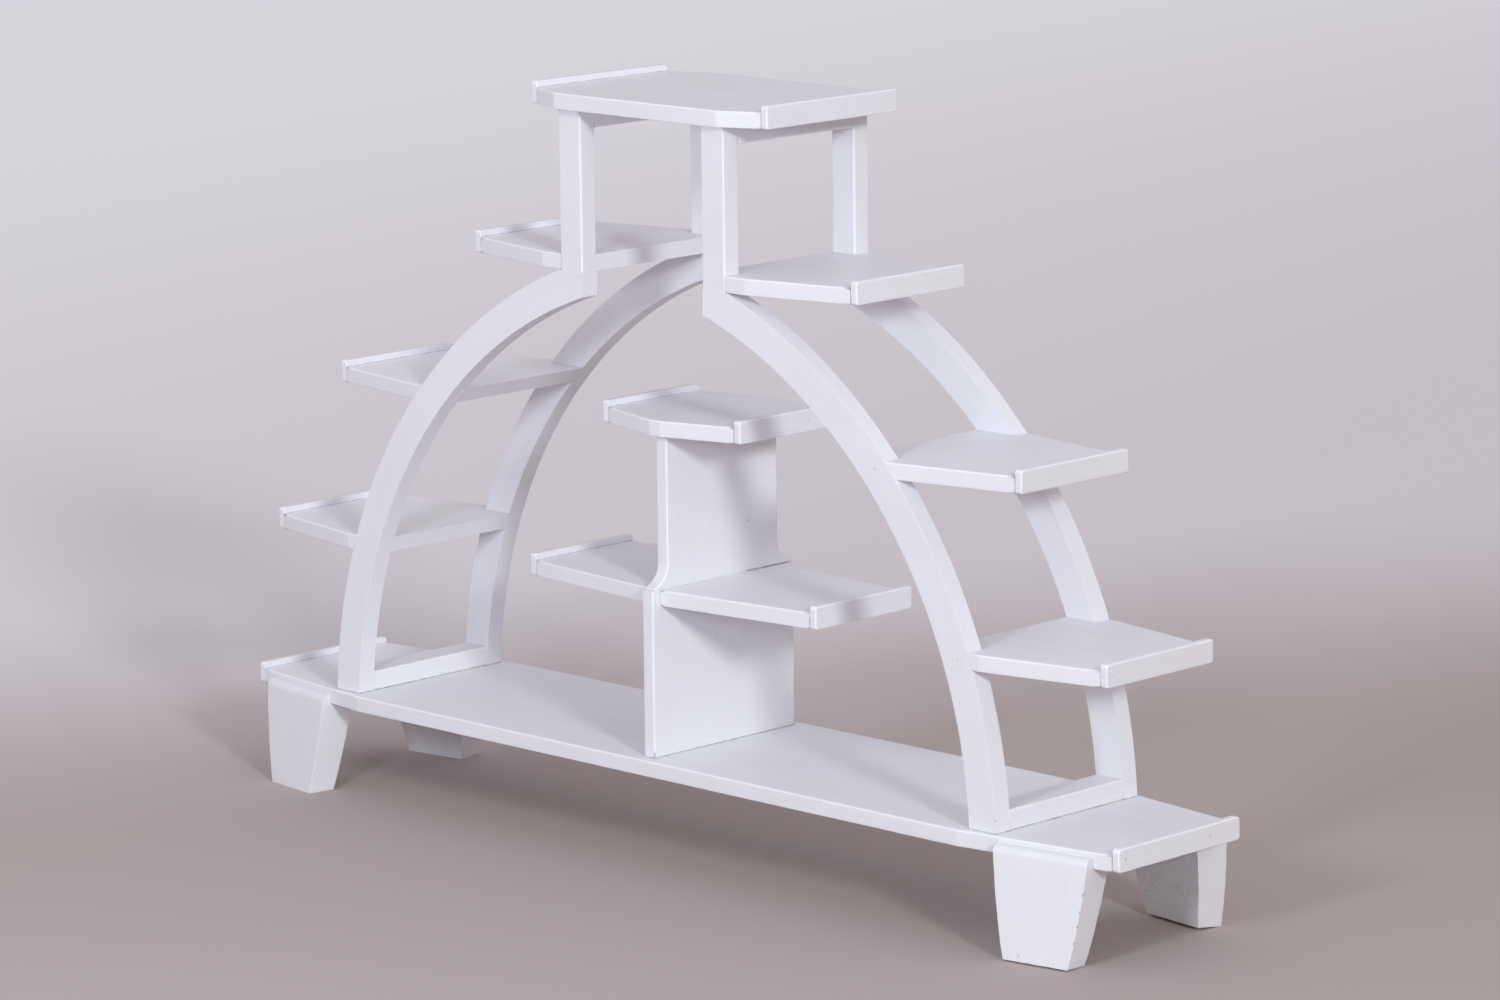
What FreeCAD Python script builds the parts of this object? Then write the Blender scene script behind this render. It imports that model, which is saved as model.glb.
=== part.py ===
import FreeCAD, Part
import math
import os

# A free-standing tiered plant stand in painted wood.
# Millimetres, +Z up, +X along the stand, -Y to the front.
# The origin is on the floor, under the middle of the base.

# Stock
board_thickness = 18.0
panel_thickness = 16.0
lip_thickness = 9.0
lip_rise = 7.0
arris = 1.6
lip_corner = 3.2

# Heights
foot_height = 104.0
lower_rise = 182.0
middle_rise = 182.0
upper_rise = 168.0
top_rise = 173.0

# Base board
overall_length = 1300.0
base_depth = 240.0
base_end_depth = 188.0
base_taper = 186.0

# Feet
foot_top_width = 114.0
foot_floor_width = 78.0
foot_floor_thickness = 33.0
foot_seat = 30.0
foot_splay = 10.0
foot_from_lip = 22.0
foot_bulge = 2.5
foot_arris = 2.6
cheek_thickness = 11.0
cheek_lap = 12.0
cheek_round = 5.0

# Side frames
frame_depth = 218.0
rib_thickness = 22.0
rib_width = 37.0
rib_outer_radius = 578.0
rib_foot_inset = 150.6
rib_head_lap = 2.5
post_width = 33.0
post_gap = 180.0
bottom_rail_width = 36.0
bottom_rail_height = 22.0
top_rail_height = 20.0
housing_depth = 6.0
inner_chamfer = 1.0

# Side shelves
shelf_overhang = 163.0
shelf_end_depth = 164.0
lower_shelf_straight = 15.0
middle_shelf_straight = 2.0
upper_shelf_straight = 27.0

# Top shelf
top_length = 352.0
top_depth = 235.0
top_end_depth = 196.0
top_straight = 240.0

# Centre tower
panel_depth = 215.0
upper_panel_foot_depth = 206.0
upper_panel_depth = 168.0
scoop_height = 31.0
toe_height = 3.0
centre_shelf_reach = 208.0
centre_shelf_depth = 192.0
centre_shelf_end_depth = 148.0
centre_top_length = 207.0
centre_top_depth = 187.0
centre_top_end_depth = 139.0

# Nails, screws and dowels
hole_clearance = 0.1
lip_nail_length = 28.0
lip_nail_radius = 1.0
lip_nail_head_radius = 2.2
shelf_nail_length = 45.0
shelf_nail_radius = 1.5
shelf_nail_head_radius = 2.8
nail_head_height = 1.2
nail_sink = 0.9
lip_nail_drop = 4.5
lip_nail_front_share = 0.89
lip_nail_back_share = 0.5
frame_nail_share = 0.58
screw_radius = 2.2
screw_head_radius = 4.4
screw_head_height = 2.8
screw_sink = 0.8
screw_bite = 30.0
rail_screw_bite = 15.0
rib_screw_share = 0.27
rail_screw_spacing = 80.0
panel_screw_spacing = 75.0
dowel_radius = 4.0
foot_dowel_radius = 5.0
foot_dowel_bite = 22.0
foot_dowel_spacing = 46.0
blind_depth = 11.0
rail_dowel_bite = 26.0
rail_dowel_blind = 8.0
rib_dowel_share = 0.72
post_dowel_bite = 22.0
post_dowel_share = 0.22
centre_dowel_bite = 24.0
centre_dowel_spacing = 60.0
panel_dowel_spacing = 90.0

# Spare length that lets a cut run out past the face it leaves
overrun = 5.0

# Levels and lines that several pieces share
base_top = foot_height + board_thickness
lower_top = base_top + lower_rise
middle_top = lower_top + middle_rise
upper_top = middle_top + upper_rise
stand_top = upper_top + top_rise
upper_underside = upper_top - board_thickness
top_underside = stand_top - board_thickness
rib_inner_radius = rib_outer_radius - rib_width
frame_face = frame_depth / 2
rib_back = frame_face - rib_thickness
tongue_face = rib_back + housing_depth
rib_middle_y = frame_face - rib_thickness / 2
post_inner = post_gap / 2
post_outer = post_inner + post_width
panel_face = panel_thickness / 2
base_end = overall_length / 2 - lip_thickness
BACKWARD = FreeCAD.Vector(0, 1, 0)
OUTWARD = FreeCAD.Vector(1, 0, 0)
UPWARD = FreeCAD.Vector(0, 0, 1)


def point(x, y, z):
    return FreeCAD.Vector(x, y, z)


def arc_centre(foot_x, head_x):
    """The centre, (x, z), of the ribs' arcs: it puts the outer arc through a rib's foot and head."""
    run, rise = head_x - foot_x, upper_underside - base_top
    chord = math.hypot(run, rise)
    reach = math.sqrt(rib_outer_radius ** 2 - (chord / 2) ** 2) / chord
    return (foot_x + head_x) / 2 - rise * reach, (base_top + upper_underside) / 2 + run * reach


rib_foot_outer = overall_length / 2 - rib_foot_inset
rib_head_outer = post_outer + rib_head_lap
arc_centre_x, arc_centre_z = arc_centre(rib_foot_outer, rib_head_outer)


def arc_x(radius, level):
    """The x at which a circle about the ribs' centre crosses a level."""
    height = level - arc_centre_z
    return arc_centre_x + math.sqrt(radius ** 2 - height ** 2)


def arc_z(radius, x):
    """The level at which a circle about the ribs' centre crosses an x."""
    reach = x - arc_centre_x
    return arc_centre_z + math.sqrt(radius ** 2 - reach ** 2)


rib_foot_inner = arc_x(rib_inner_radius, base_top)
rib_foot_middle = (rib_foot_outer + rib_foot_inner) / 2


def block(x_range, y_range, z_range):
    size = [high - low for low, high in (x_range, y_range, z_range)]
    return Part.makeBox(*size, point(x_range[0], y_range[0], z_range[0]))


def closed_face(corners):
    return Part.Face(Part.makePolygon(corners + corners[:1]))


def plan_slab(outline, bottom, thickness):
    """A level board from its plan outline, a list of (x, y)."""
    corners = [point(x, y, bottom) for x, y in outline]
    return closed_face(corners).extrude(UPWARD * thickness)


def ease(solid, wanted, radius):
    """Round the edges for which wanted(first point, last point) is true."""
    edges = [e for e in solid.Edges if wanted(e.Vertexes[0].Point, e.Vertexes[-1].Point)]
    return solid.makeFillet(radius, edges)


def is_level(a, b):
    return math.isclose(a.z, b.z, abs_tol=arris / overall_length)


def same_side(a, b):
    return a.y * b.y > 0


def along_edge(a, b):
    """True for a board's long edges, which keep to one side of the middle line."""
    return is_level(a, b) and same_side(a, b)


def mirror_x(shape):
    return shape.mirror(point(0, 0, 0), OUTWARD)


def mirror_y(shape):
    return shape.mirror(point(0, 0, 0), BACKWARD)


def both_ends(shapes):
    return shapes + [mirror_x(shape) for shape in shapes]


def front_and_back(shapes):
    return shapes + [mirror_y(shape) for shape in shapes]


def four_corners(shapes):
    return front_and_back(both_ends(shapes))


def group(shapes):
    return Part.makeCompound(shapes)


def bored(solid, cutters):
    """A piece with the holes of all its nails, screws and dowels."""
    return solid.cut(group(cutters)).removeSplitter()


# Fasteners


def nail(face_point, inward, length, radius, head_radius):
    """A nail whose head is sunk below the face that it was driven through."""
    head_top = face_point + inward * nail_sink
    head = Part.makeCylinder(head_radius, nail_head_height, head_top, inward)
    return head.fuse(Part.makeCylinder(radius, length, head_top, inward)).removeSplitter()


def nail_bore(face_point, inward, length, radius, head_radius):
    """A nail's hole, with the dimple that is left over its sunk head."""
    start = face_point - inward * overrun
    sink_depth = overrun + nail_sink + nail_head_height
    sink = Part.makeCylinder(head_radius + hole_clearance, sink_depth, start, inward)
    shank_depth = overrun + nail_sink + length
    return sink.fuse(Part.makeCylinder(radius + hole_clearance, shank_depth, start, inward))


def screw(x, y, tip_level):
    """A countersunk screw driven up from under the base, its head just below the face."""
    seat = point(x, y, foot_height + screw_sink)
    head = Part.makeCone(screw_head_radius, screw_radius, screw_head_height, seat, UPWARD)
    shank = Part.makeCylinder(screw_radius, tip_level - seat.z, seat, UPWARD)
    return head.fuse(shank).removeSplitter()


def screw_bore(x, y, tip_level):
    """The screw's hole, open below its head."""
    seat = point(x, y, foot_height + screw_sink)
    head_radius, radius = screw_head_radius + hole_clearance, screw_radius + hole_clearance
    depth = overrun + screw_sink
    mouth = Part.makeCylinder(head_radius, depth, seat - UPWARD * depth, UPWARD)
    head = Part.makeCone(head_radius, radius, screw_head_height, seat, UPWARD)
    shank = Part.makeCylinder(radius, tip_level - seat.z, seat, UPWARD)
    return mouth.fuse([head, shank]).removeSplitter()


def dowel(start, direction, length, radius):
    return Part.makeCylinder(radius, length, start, direction)


def lip_nails(lip_face, level, end_depth, maker=nail):
    """The pair of nails through one right-hand lip into the board's end."""
    height, half = level - lip_nail_drop, end_depth / 2
    spots = [point(lip_face, y, height) for y in (-half * lip_nail_front_share, half * lip_nail_back_share)]
    return [maker(s, -OUTWARD, lip_nail_length, lip_nail_radius, lip_nail_head_radius) for s in spots]


def shelf_nail(level, maker=nail):
    """The nail through the front right rib or post into a shelf's tongue."""
    height = level - board_thickness / 2
    inner, outer = post_inner, post_outer
    if level <= upper_underside:
        inner, outer = arc_x(rib_inner_radius, height), arc_x(rib_outer_radius, height)
    spot = point(inner + (outer - inner) * frame_nail_share, -frame_face, height)
    return maker(spot, BACKWARD, shelf_nail_length, shelf_nail_radius, shelf_nail_head_radius)


def foot_dowels(spare=0):
    """The two dowels between the front right foot and the base."""
    start = foot_height - foot_dowel_bite
    length = foot_dowel_bite + blind_depth
    places = [foot_middle() + side * foot_dowel_spacing / 2 for side in (-1, 1)]
    starts = [foot_point(along, -foot_seat / 2, start) for along in places]
    return [dowel(s, UPWARD, length, foot_dowel_radius + spare) for s in starts]


def base_screws(maker=screw):
    """Screws up through the base into the rib feet, the bottom rails and the lower panel."""
    rib_x = rib_foot_inner + rib_width * rib_screw_share
    rib_spots = [(rib_x, side * rib_middle_y) for side in (-1, 1)]
    rail_spots = [(rib_foot_middle, side * rail_screw_spacing / 2) for side in (-1, 1)]
    panel_spots = [(0, step * panel_screw_spacing) for step in (-1, 0, 1)]
    ribs = [maker(x, y, base_top + screw_bite) for x, y in rib_spots]
    rails = [maker(x, y, base_top + rail_screw_bite) for x, y in rail_spots]
    panel = [maker(x, y, base_top + screw_bite) for x, y in panel_spots]
    return both_ends(ribs + rails) + panel


def rail_dowel(x, height, spare):
    """The dowel that joins a front right rib or post to its rail."""
    start = point(x, -rib_back - rail_dowel_blind, height)
    return dowel(start, BACKWARD, rail_dowel_blind + rail_dowel_bite, dowel_radius + spare)


def bottom_rail_dowel(spare=0):
    x = rib_foot_inner + rib_width * rib_dowel_share
    return rail_dowel(x, base_top + bottom_rail_height / 2, spare)


def top_rail_dowel(spare=0):
    return rail_dowel(post_inner + post_width / 2, top_underside - top_rail_height / 2, spare)


def post_dowels(spare=0):
    """The dowels at the foot and the head of the front right post."""
    x = post_inner + post_width * post_dowel_share
    y = -(frame_face + tongue_face) / 2
    radius = dowel_radius + spare
    foot = dowel(point(x, y, upper_underside - post_dowel_bite), UPWARD, post_dowel_bite * 2, radius)
    head_length = post_dowel_bite + blind_depth
    head = dowel(point(x, y, top_underside - post_dowel_bite), UPWARD, head_length, radius)
    return [foot, head]


def centre_shelf_dowels(spare=0):
    """Dowels that run through the panel into both centre shelves."""
    reach = panel_face + centre_dowel_bite
    height = lower_top - board_thickness / 2
    spots = [point(-reach, step * centre_dowel_spacing, height) for step in (-1, 0, 1)]
    return [dowel(s, OUTWARD, reach * 2, dowel_radius + spare) for s in spots]


def panel_dowels(spare=0):
    """Dowels between the lower and the upper panel."""
    start = lower_top - centre_dowel_bite
    spots = [point(0, side * panel_dowel_spacing / 2, start) for side in (-1, 1)]
    return [dowel(s, UPWARD, centre_dowel_bite * 2, dowel_radius + spare) for s in spots]


def centre_top_dowels(spare=0):
    """Dowels between the upper panel's top edge and the centre top shelf."""
    start = middle_top - board_thickness - centre_dowel_bite
    length = centre_dowel_bite + blind_depth
    spots = [point(0, side * centre_dowel_spacing / 2, start) for side in (-1, 1)]
    return [dowel(s, UPWARD, length, dowel_radius + spare) for s in spots]


# Base and feet


def base_outline():
    straight = base_end - base_taper
    half, end_half = base_depth / 2, base_end_depth / 2
    front = [(-base_end, -end_half), (-straight, -half), (straight, -half), (base_end, -end_half)]
    return front + [(x, -y) for x, y in reversed(front)]


def base_board():
    slab = ease(plan_slab(base_outline(), foot_height, board_thickness), along_edge, arris)
    nails = lip_nails(base_end + lip_thickness, base_top, base_end_depth, nail_bore)
    screws = base_screws(screw_bore)
    return bored(slab, four_corners(foot_dowels(hole_clearance)) + screws + both_ends(nails))


def lip(inner_face, level, end_depth):
    """The raised strip nailed to a right-hand board end, with rounded corners."""
    half = end_depth / 2
    outer_face = inner_face + lip_thickness
    strip = block((inner_face, outer_face), (-half, half), (level - board_thickness, level + lip_rise))

    def corner(a, b):
        upright = not is_level(a, b)
        return upright and math.isclose(a.x, outer_face)

    def arris_edge(a, b):
        on_top = is_level(a, b) and a.z > level
        outer = is_level(a, b) and a.x > inner_face and b.x > inner_face
        return on_top or outer

    rounded = ease(ease(strip, corner, lip_corner), arris_edge, arris)
    return bored(rounded, lip_nails(outer_face, level, end_depth, nail_bore))


def foot_point(along, out, height):
    """A point of the front right foot, whose seat follows the base's tapered edge."""
    run, inset = base_taper, (base_depth - base_end_depth) / 2
    length = math.hypot(run, inset)
    start_x, start_y = base_end - base_taper, -base_depth / 2
    x = start_x + (along * run + out * inset) / length
    y = start_y + (along * inset - out * run) / length
    return point(x, y, height)


def foot_middle():
    taper_edge = math.hypot(base_taper, (base_depth - base_end_depth) / 2)
    return taper_edge - foot_from_lip - foot_top_width / 2


def foot_elevation():
    """The foot seen square on: narrower at the floor, with gently bulging sides."""
    cheek_top = foot_height + cheek_lap
    middle, floor_half, top_half = foot_middle(), foot_floor_width / 2, foot_top_width / 2
    deep = -foot_seat - overrun

    def at(side, half, height):
        return foot_point(middle + side * half, deep, height)

    def flank(side):
        bulged = (floor_half + top_half) / 2 + foot_bulge
        middle_point = at(side, bulged, cheek_top / 2)
        return Part.Arc(at(side, floor_half, 0), middle_point, at(side, top_half, cheek_top)).toShape()

    head = Part.LineSegment(at(-1, top_half, cheek_top), at(1, top_half, cheek_top)).toShape()
    sole = Part.LineSegment(at(1, floor_half, 0), at(-1, floor_half, 0)).toShape()
    wire = Part.Wire(Part.__sortEdges__([flank(-1), head, flank(1), sole]))
    depth = foot_seat + cheek_thickness + foot_splay + overrun * 2
    outward = foot_point(0, 1, 0) - foot_point(0, 0, 0)
    return Part.Face(wire).extrude(outward * depth)


def foot_profile():
    """The foot seen from its side: splayed, with a rebate that takes the base's edge."""
    cheek_top = foot_height + cheek_lap
    floor_out = cheek_thickness + foot_splay
    floor_in = floor_out - foot_floor_thickness
    start = foot_middle() - foot_top_width / 2 - overrun
    outline = [(floor_in, 0), (floor_out, 0), (cheek_thickness, cheek_top), (0, cheek_top),
               (0, foot_height), (-foot_seat, foot_height)]
    face = closed_face([foot_point(start, out, height) for out, height in outline])
    along = foot_point(1, 0, 0) - foot_point(0, 0, 0)
    return face.extrude(along * (foot_top_width + overrun * 2))


def crowned(profile):
    """The foot's profile with the crown of its cheek rounded over."""
    along = foot_point(1, 0, 0) - foot_point(0, 0, 0)
    crown = foot_point(0, cheek_thickness, foot_height + cheek_lap)

    def crown_edge(a, b):
        to_first, to_last = a - crown, b - crown
        return max(to_first.cross(along).Length, to_last.cross(along).Length) < arris

    return ease(profile, crown_edge, cheek_round)


def foot():
    """The front right foot."""
    profile = foot_profile()
    rough = foot_elevation().common(profile).removeSplitter()

    def flank_edge(a, b):
        return not is_level(a, b) and min(a.z, b.z) < foot_height / 2

    shaped = ease(rough, flank_edge, foot_arris).common(crowned(profile))
    return bored(shaped, foot_dowels(hole_clearance))


# Side frames


def rib_blank():
    """The front right rib before its housings are cut."""
    front = -frame_face
    knee = arc_z(rib_inner_radius, post_inner)

    def bend(radius, low, high):
        """An arc between two points, through the point halfway round."""
        angles = [math.atan2(z - arc_centre_z, x - arc_centre_x) for x, z in (low, high)]
        half = sum(angles) / 2
        middle = (arc_centre_x + radius * math.cos(half), arc_centre_z + radius * math.sin(half))
        return Part.Arc(*[point(x, front, z) for x, z in (low, middle, high)]).toShape()

    def straight(first, last):
        return Part.LineSegment(point(first[0], front, first[1]), point(last[0], front, last[1])).toShape()

    foot_out, foot_in = (rib_foot_outer, base_top), (rib_foot_inner, base_top)
    head_out, head_in = (rib_head_outer, upper_underside), (post_inner, upper_underside)
    knee_in = (post_inner, knee)
    edges = [
        bend(rib_outer_radius, foot_out, head_out),
        straight(head_out, head_in),
        straight(head_in, knee_in),
        bend(rib_inner_radius, knee_in, foot_in),
        straight(foot_in, foot_out),
    ]
    rib = Part.Face(Part.Wire(edges)).extrude(BACKWARD * rib_thickness)

    def outer_edge(a, b):
        return a.y + b.y < -frame_depth + arris and not is_level(a, b)

    def inner_edge(edge):
        a, b = edge.Vertexes[0].Point, edge.Vertexes[-1].Point
        return a.y + b.y > -rib_back * 2 - arris and not is_level(a, b)

    eased = ease(rib, outer_edge, arris)
    return eased.makeChamfer(inner_chamfer, [edge for edge in eased.Edges if inner_edge(edge)])


def tongue(level):
    """The room that a shelf's tongue takes up between the right front and back ribs."""
    low = level - board_thickness
    reach = rib_foot_outer + shelf_overhang
    return block((0, reach), (-tongue_face, tongue_face), (low, level))


def rib():
    """The front right rib, housed for two shelves."""
    housings = [tongue(lower_top), tongue(middle_top)]
    nails = [shelf_nail(level, nail_bore) for level in (lower_top, middle_top)]
    dowels = [bottom_rail_dowel(hole_clearance), post_dowels(hole_clearance)[0]]
    return bored(rib_blank(), housings + nails + dowels + base_screws(screw_bore))


def post():
    """The front right post, which stands on the rib's head."""
    blank = block((post_inner, post_outer), (-frame_face, -rib_back), (upper_underside, top_underside))
    blank = ease(blank, lambda a, b: not is_level(a, b), arris)
    cutters = [tongue(upper_top), shelf_nail(upper_top, nail_bore), top_rail_dowel(hole_clearance)]
    return bored(blank, cutters + post_dowels(hole_clearance))


def bottom_rail():
    half = bottom_rail_width / 2
    x_range = (rib_foot_middle - half, rib_foot_middle + half)
    rail = block(x_range, (-rib_back, rib_back), (base_top, base_top + bottom_rail_height))

    def top_edge(a, b):
        return a.z > base_top and is_level(a, b) and not same_side(a, b)

    dowels = front_and_back([bottom_rail_dowel(hole_clearance)])
    return bored(ease(rail, top_edge, arris), dowels + base_screws(screw_bore))


def top_rail():
    z_range = (top_underside - top_rail_height, top_underside)
    rail = block((post_inner, post_outer), (-rib_back, rib_back), z_range)

    def under_edge(a, b):
        return b.z < top_underside and is_level(a, b) and not same_side(a, b)

    return bored(ease(rail, under_edge, arris), front_and_back([top_rail_dowel(hole_clearance)]))


# Side shelves


def frame_outer(level):
    """The outer face of the rib, or of the post above it, at a shelf's top."""
    if level > upper_underside and level <= upper_top:
        return post_outer
    return arc_x(rib_outer_radius, level)


def shelf_end(level):
    return frame_outer(level) + shelf_overhang - lip_thickness


def inside_of(radius, face):
    """The room inside a circle about the ribs' centre, as deep as the stand."""
    return Part.makeCylinder(radius, face * 2, point(arc_centre_x, -face, arc_centre_z), BACKWARD)


def frame_notches(level):
    """What a shelf loses to the ribs or posts, and to the open middle of the stand."""
    low, deep = level - board_thickness - overrun, frame_face + overrun
    sides = [(-deep, -tongue_face), (tongue_face, deep)]
    if level > upper_underside:
        notches = [block((0, post_outer), y_range, (low, level + overrun)) for y_range in sides]
        return notches + [block((0, post_inner), (-deep, deep), (low, level + overrun))]
    outer, inner = inside_of(rib_outer_radius, deep), inside_of(rib_inner_radius, deep)
    slabs = [block((0, rib_foot_outer), y_range, (low, level + overrun)) for y_range in sides]
    return [outer.common(slab) for slab in slabs] + [inner]


def side_shelf(level, straight):
    """A right-hand shelf: its tongue runs in between the ribs, its end carries a lip."""
    half, end_half, end = frame_depth / 2, shelf_end_depth / 2, shelf_end(level)
    start, taper = post_inner, frame_outer(level) + straight
    if level <= upper_underside:
        start = arc_x(rib_inner_radius, level)
    near = [(start, -half), (taper, -half), (end, -end_half)]
    outline = near + [(x, -y) for x, y in reversed(near)]
    slab = ease(plan_slab(outline, level - board_thickness, board_thickness), along_edge, arris)
    frame_nails = front_and_back([shelf_nail(level, nail_bore)])
    end_nails = lip_nails(end + lip_thickness, level, shelf_end_depth, nail_bore)
    return bored(slab, frame_notches(level) + frame_nails + end_nails)


# Top shelf


def eight_sided(length, depth, end_depth, straight, top):
    """A level board with its four corners cut off on the slant, but for its end lips."""
    end, end_half = length / 2 - lip_thickness, end_depth / 2
    half, corner = depth / 2, straight / 2
    front = [(-end, -end_half), (-corner, -half), (corner, -half), (end, -end_half)]
    slab = plan_slab(front + [(x, -y) for x, y in reversed(front)], top - board_thickness, board_thickness)
    nails = lip_nails(end + lip_thickness, top, end_depth, nail_bore)
    return bored(ease(slab, along_edge, arris), both_ends(nails))


def top_shelf():
    board = eight_sided(top_length, top_depth, top_end_depth, top_straight, stand_top)
    return bored(board, four_corners([post_dowels(hole_clearance)[1]]))


# Centre tower


def panel_board(face):
    """An upright board in the middle plane, from its outline's face at the left side."""
    board = face.extrude(OUTWARD * panel_thickness)

    def side_edge(a, b):
        return math.isclose(a.x, b.x) and not is_level(a, b)

    return ease(board, side_edge, arris)


def lower_panel():
    """The panel that stands on the base and parts the two centre shelves."""
    half, x = panel_depth / 2, -panel_face
    outline = [(-half, base_top), (half, base_top), (half, lower_top), (-half, lower_top)]
    board = panel_board(closed_face([point(x, y, z) for y, z in outline]))
    dowels = centre_shelf_dowels(hole_clearance) + panel_dowels(hole_clearance)
    return bored(board, dowels + base_screws(screw_bore))


def upper_panel():
    """The narrower panel above it, whose foot spreads on both sides in a hollow curve."""
    foot, neck, top = upper_panel_foot_depth / 2, upper_panel_depth / 2, middle_top - board_thickness
    toe, spring = lower_top + toe_height, lower_top + scoop_height
    x = -panel_face
    turn = math.pi / 4
    middle_y = foot - (foot - neck) * math.sin(turn)
    middle_z = toe + (spring - toe) * (1 - math.cos(turn))

    def hollow(side):
        spots = [(side * foot, toe), (side * middle_y, middle_z), (side * neck, spring)]
        return Part.Arc(*[point(x, y, z) for y, z in spots]).toShape()

    def straight(outline):
        return Part.makePolygon([point(x, y, z) for y, z in outline]).Edges

    sole = straight([(-foot, toe), (-foot, lower_top), (foot, lower_top), (foot, toe)])
    head = straight([(neck, spring), (neck, top), (-neck, top), (-neck, spring)])
    wire = Part.Wire(Part.__sortEdges__(sole + [hollow(1)] + head + [hollow(-1)]))
    dowels = panel_dowels(hole_clearance) + centre_top_dowels(hole_clearance)
    return bored(panel_board(Part.Face(wire)), dowels)


def centre_shelf():
    """The right-hand half of the shelf that the panel carries at its middle."""
    end = panel_face + centre_shelf_reach - lip_thickness
    root, end_half = centre_shelf_depth / 2, centre_shelf_end_depth / 2
    outline = [(panel_face, -root), (end, -end_half), (end, end_half), (panel_face, root)]
    slab = ease(plan_slab(outline, lower_top - board_thickness, board_thickness), along_edge, arris)
    nails = lip_nails(end + lip_thickness, lower_top, centre_shelf_end_depth, nail_bore)
    return bored(slab, centre_shelf_dowels(hole_clearance) + nails)


def centre_top_shelf():
    depths = (centre_top_depth, centre_top_end_depth)
    board = eight_sided(centre_top_length, *depths, panel_thickness, middle_top)
    return bored(board, centre_top_dowels(hole_clearance))


# Every node, by name


def lip_places():
    """Each right-hand lip's name, with its inner face, its board's top and its length."""
    return {
        "base_lip": (base_end, base_top, base_end_depth),
        "lower_lip": (shelf_end(lower_top), lower_top, shelf_end_depth),
        "middle_lip": (shelf_end(middle_top), middle_top, shelf_end_depth),
        "upper_lip": (shelf_end(upper_top), upper_top, shelf_end_depth),
        "top_lip": (top_length / 2 - lip_thickness, stand_top, top_end_depth),
        "centre_lip": (panel_face + centre_shelf_reach - lip_thickness, lower_top, centre_shelf_end_depth),
        "centre_top_lip": (centre_top_length / 2 - lip_thickness, middle_top, centre_top_end_depth),
    }


def paired(name, shape):
    """A right-hand piece and its mirror twin on the left."""
    return {name + "_right": shape, name + "_left": mirror_x(shape)}


def cornered(name, shape):
    """A front right piece and its three mirror twins."""
    back = mirror_y(shape)
    return {**paired(name + "_front", shape), **paired(name + "_back", back)}


def fastener_nodes():
    lips = []
    for inner_face, level, end_depth in lip_places().values():
        lips += lip_nails(inner_face + lip_thickness, level, end_depth)
    shelves = [shelf_nail(level) for level in (lower_top, middle_top, upper_top)]
    return {
        "lip_nails": group(both_ends(lips)),
        "shelf_nails": group(four_corners(shelves)),
        "foot_dowels": group(four_corners(foot_dowels())),
        "base_screws": group(base_screws()),
        "rail_dowels": group(four_corners([bottom_rail_dowel(), top_rail_dowel()])),
        "post_dowels": group(four_corners(post_dowels())),
        "centre_shelf_dowels": group(centre_shelf_dowels()),
        "panel_dowels": group(panel_dowels()),
        "centre_top_dowels": group(centre_top_dowels()),
    }


def build_nodes():
    nodes = {"base_board": base_board(), "top_shelf": top_shelf()}
    nodes.update({"lower_panel": lower_panel(), "upper_panel": upper_panel()})
    nodes.update({"centre_top_shelf": centre_top_shelf()})
    nodes.update(cornered("foot", foot()))
    nodes.update(cornered("rib", rib()))
    nodes.update(cornered("post", post()))
    nodes.update(paired("bottom_rail", bottom_rail()))
    nodes.update(paired("top_rail", top_rail()))
    nodes.update(paired("lower_shelf", side_shelf(lower_top, lower_shelf_straight)))
    nodes.update(paired("middle_shelf", side_shelf(middle_top, middle_shelf_straight)))
    nodes.update(paired("upper_shelf", side_shelf(upper_top, upper_shelf_straight)))
    nodes.update(paired("centre_shelf", centre_shelf()))
    for name, (inner_face, level, end_depth) in lip_places().items():
        nodes.update(paired(name, lip(inner_face, level, end_depth)))
    nodes.update(fastener_nodes())
    return nodes


def main():
    os.makedirs("parts", exist_ok=True)
    for name, shape in build_nodes().items():
        shape.exportStep("parts/" + name + ".step")
        print(name, "solids", len(shape.Solids), "valid", shape.isValid(), "volume", round(shape.Volume))


main()
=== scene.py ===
import logging
import math
from dataclasses import dataclass, field
from enum import Enum
from typing import Callable, Iterable, Sequence

import bmesh
import bpy
from mathutils import Matrix, Vector, noise


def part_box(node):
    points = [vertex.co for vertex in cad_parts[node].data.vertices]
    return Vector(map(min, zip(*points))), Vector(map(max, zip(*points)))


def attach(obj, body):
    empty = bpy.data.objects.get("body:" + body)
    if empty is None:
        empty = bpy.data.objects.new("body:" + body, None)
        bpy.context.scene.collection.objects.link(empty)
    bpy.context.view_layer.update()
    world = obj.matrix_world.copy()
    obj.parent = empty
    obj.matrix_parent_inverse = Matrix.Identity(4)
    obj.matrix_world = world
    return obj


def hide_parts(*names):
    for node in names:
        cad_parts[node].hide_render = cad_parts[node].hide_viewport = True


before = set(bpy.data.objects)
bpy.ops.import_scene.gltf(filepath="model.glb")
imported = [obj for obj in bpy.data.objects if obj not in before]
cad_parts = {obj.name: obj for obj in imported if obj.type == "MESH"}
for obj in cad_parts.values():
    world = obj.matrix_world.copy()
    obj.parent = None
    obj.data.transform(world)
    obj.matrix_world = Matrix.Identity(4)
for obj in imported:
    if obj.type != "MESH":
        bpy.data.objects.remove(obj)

# A white painted plant stand of stepped shelves on two arched frames. Metres, +Z up, front at -Y.

LOG = logging.getLogger("plant_stand")
MM = 0.001
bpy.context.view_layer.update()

# The greatest gap between points that count as flush
NEAR = MM / 10
# The greatest distance from a cut of a point that becomes part of it
SNAP = MM / 6
# The greatest distance from a seat of a point that rests on it
ON_SEAT = MM / 20
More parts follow.
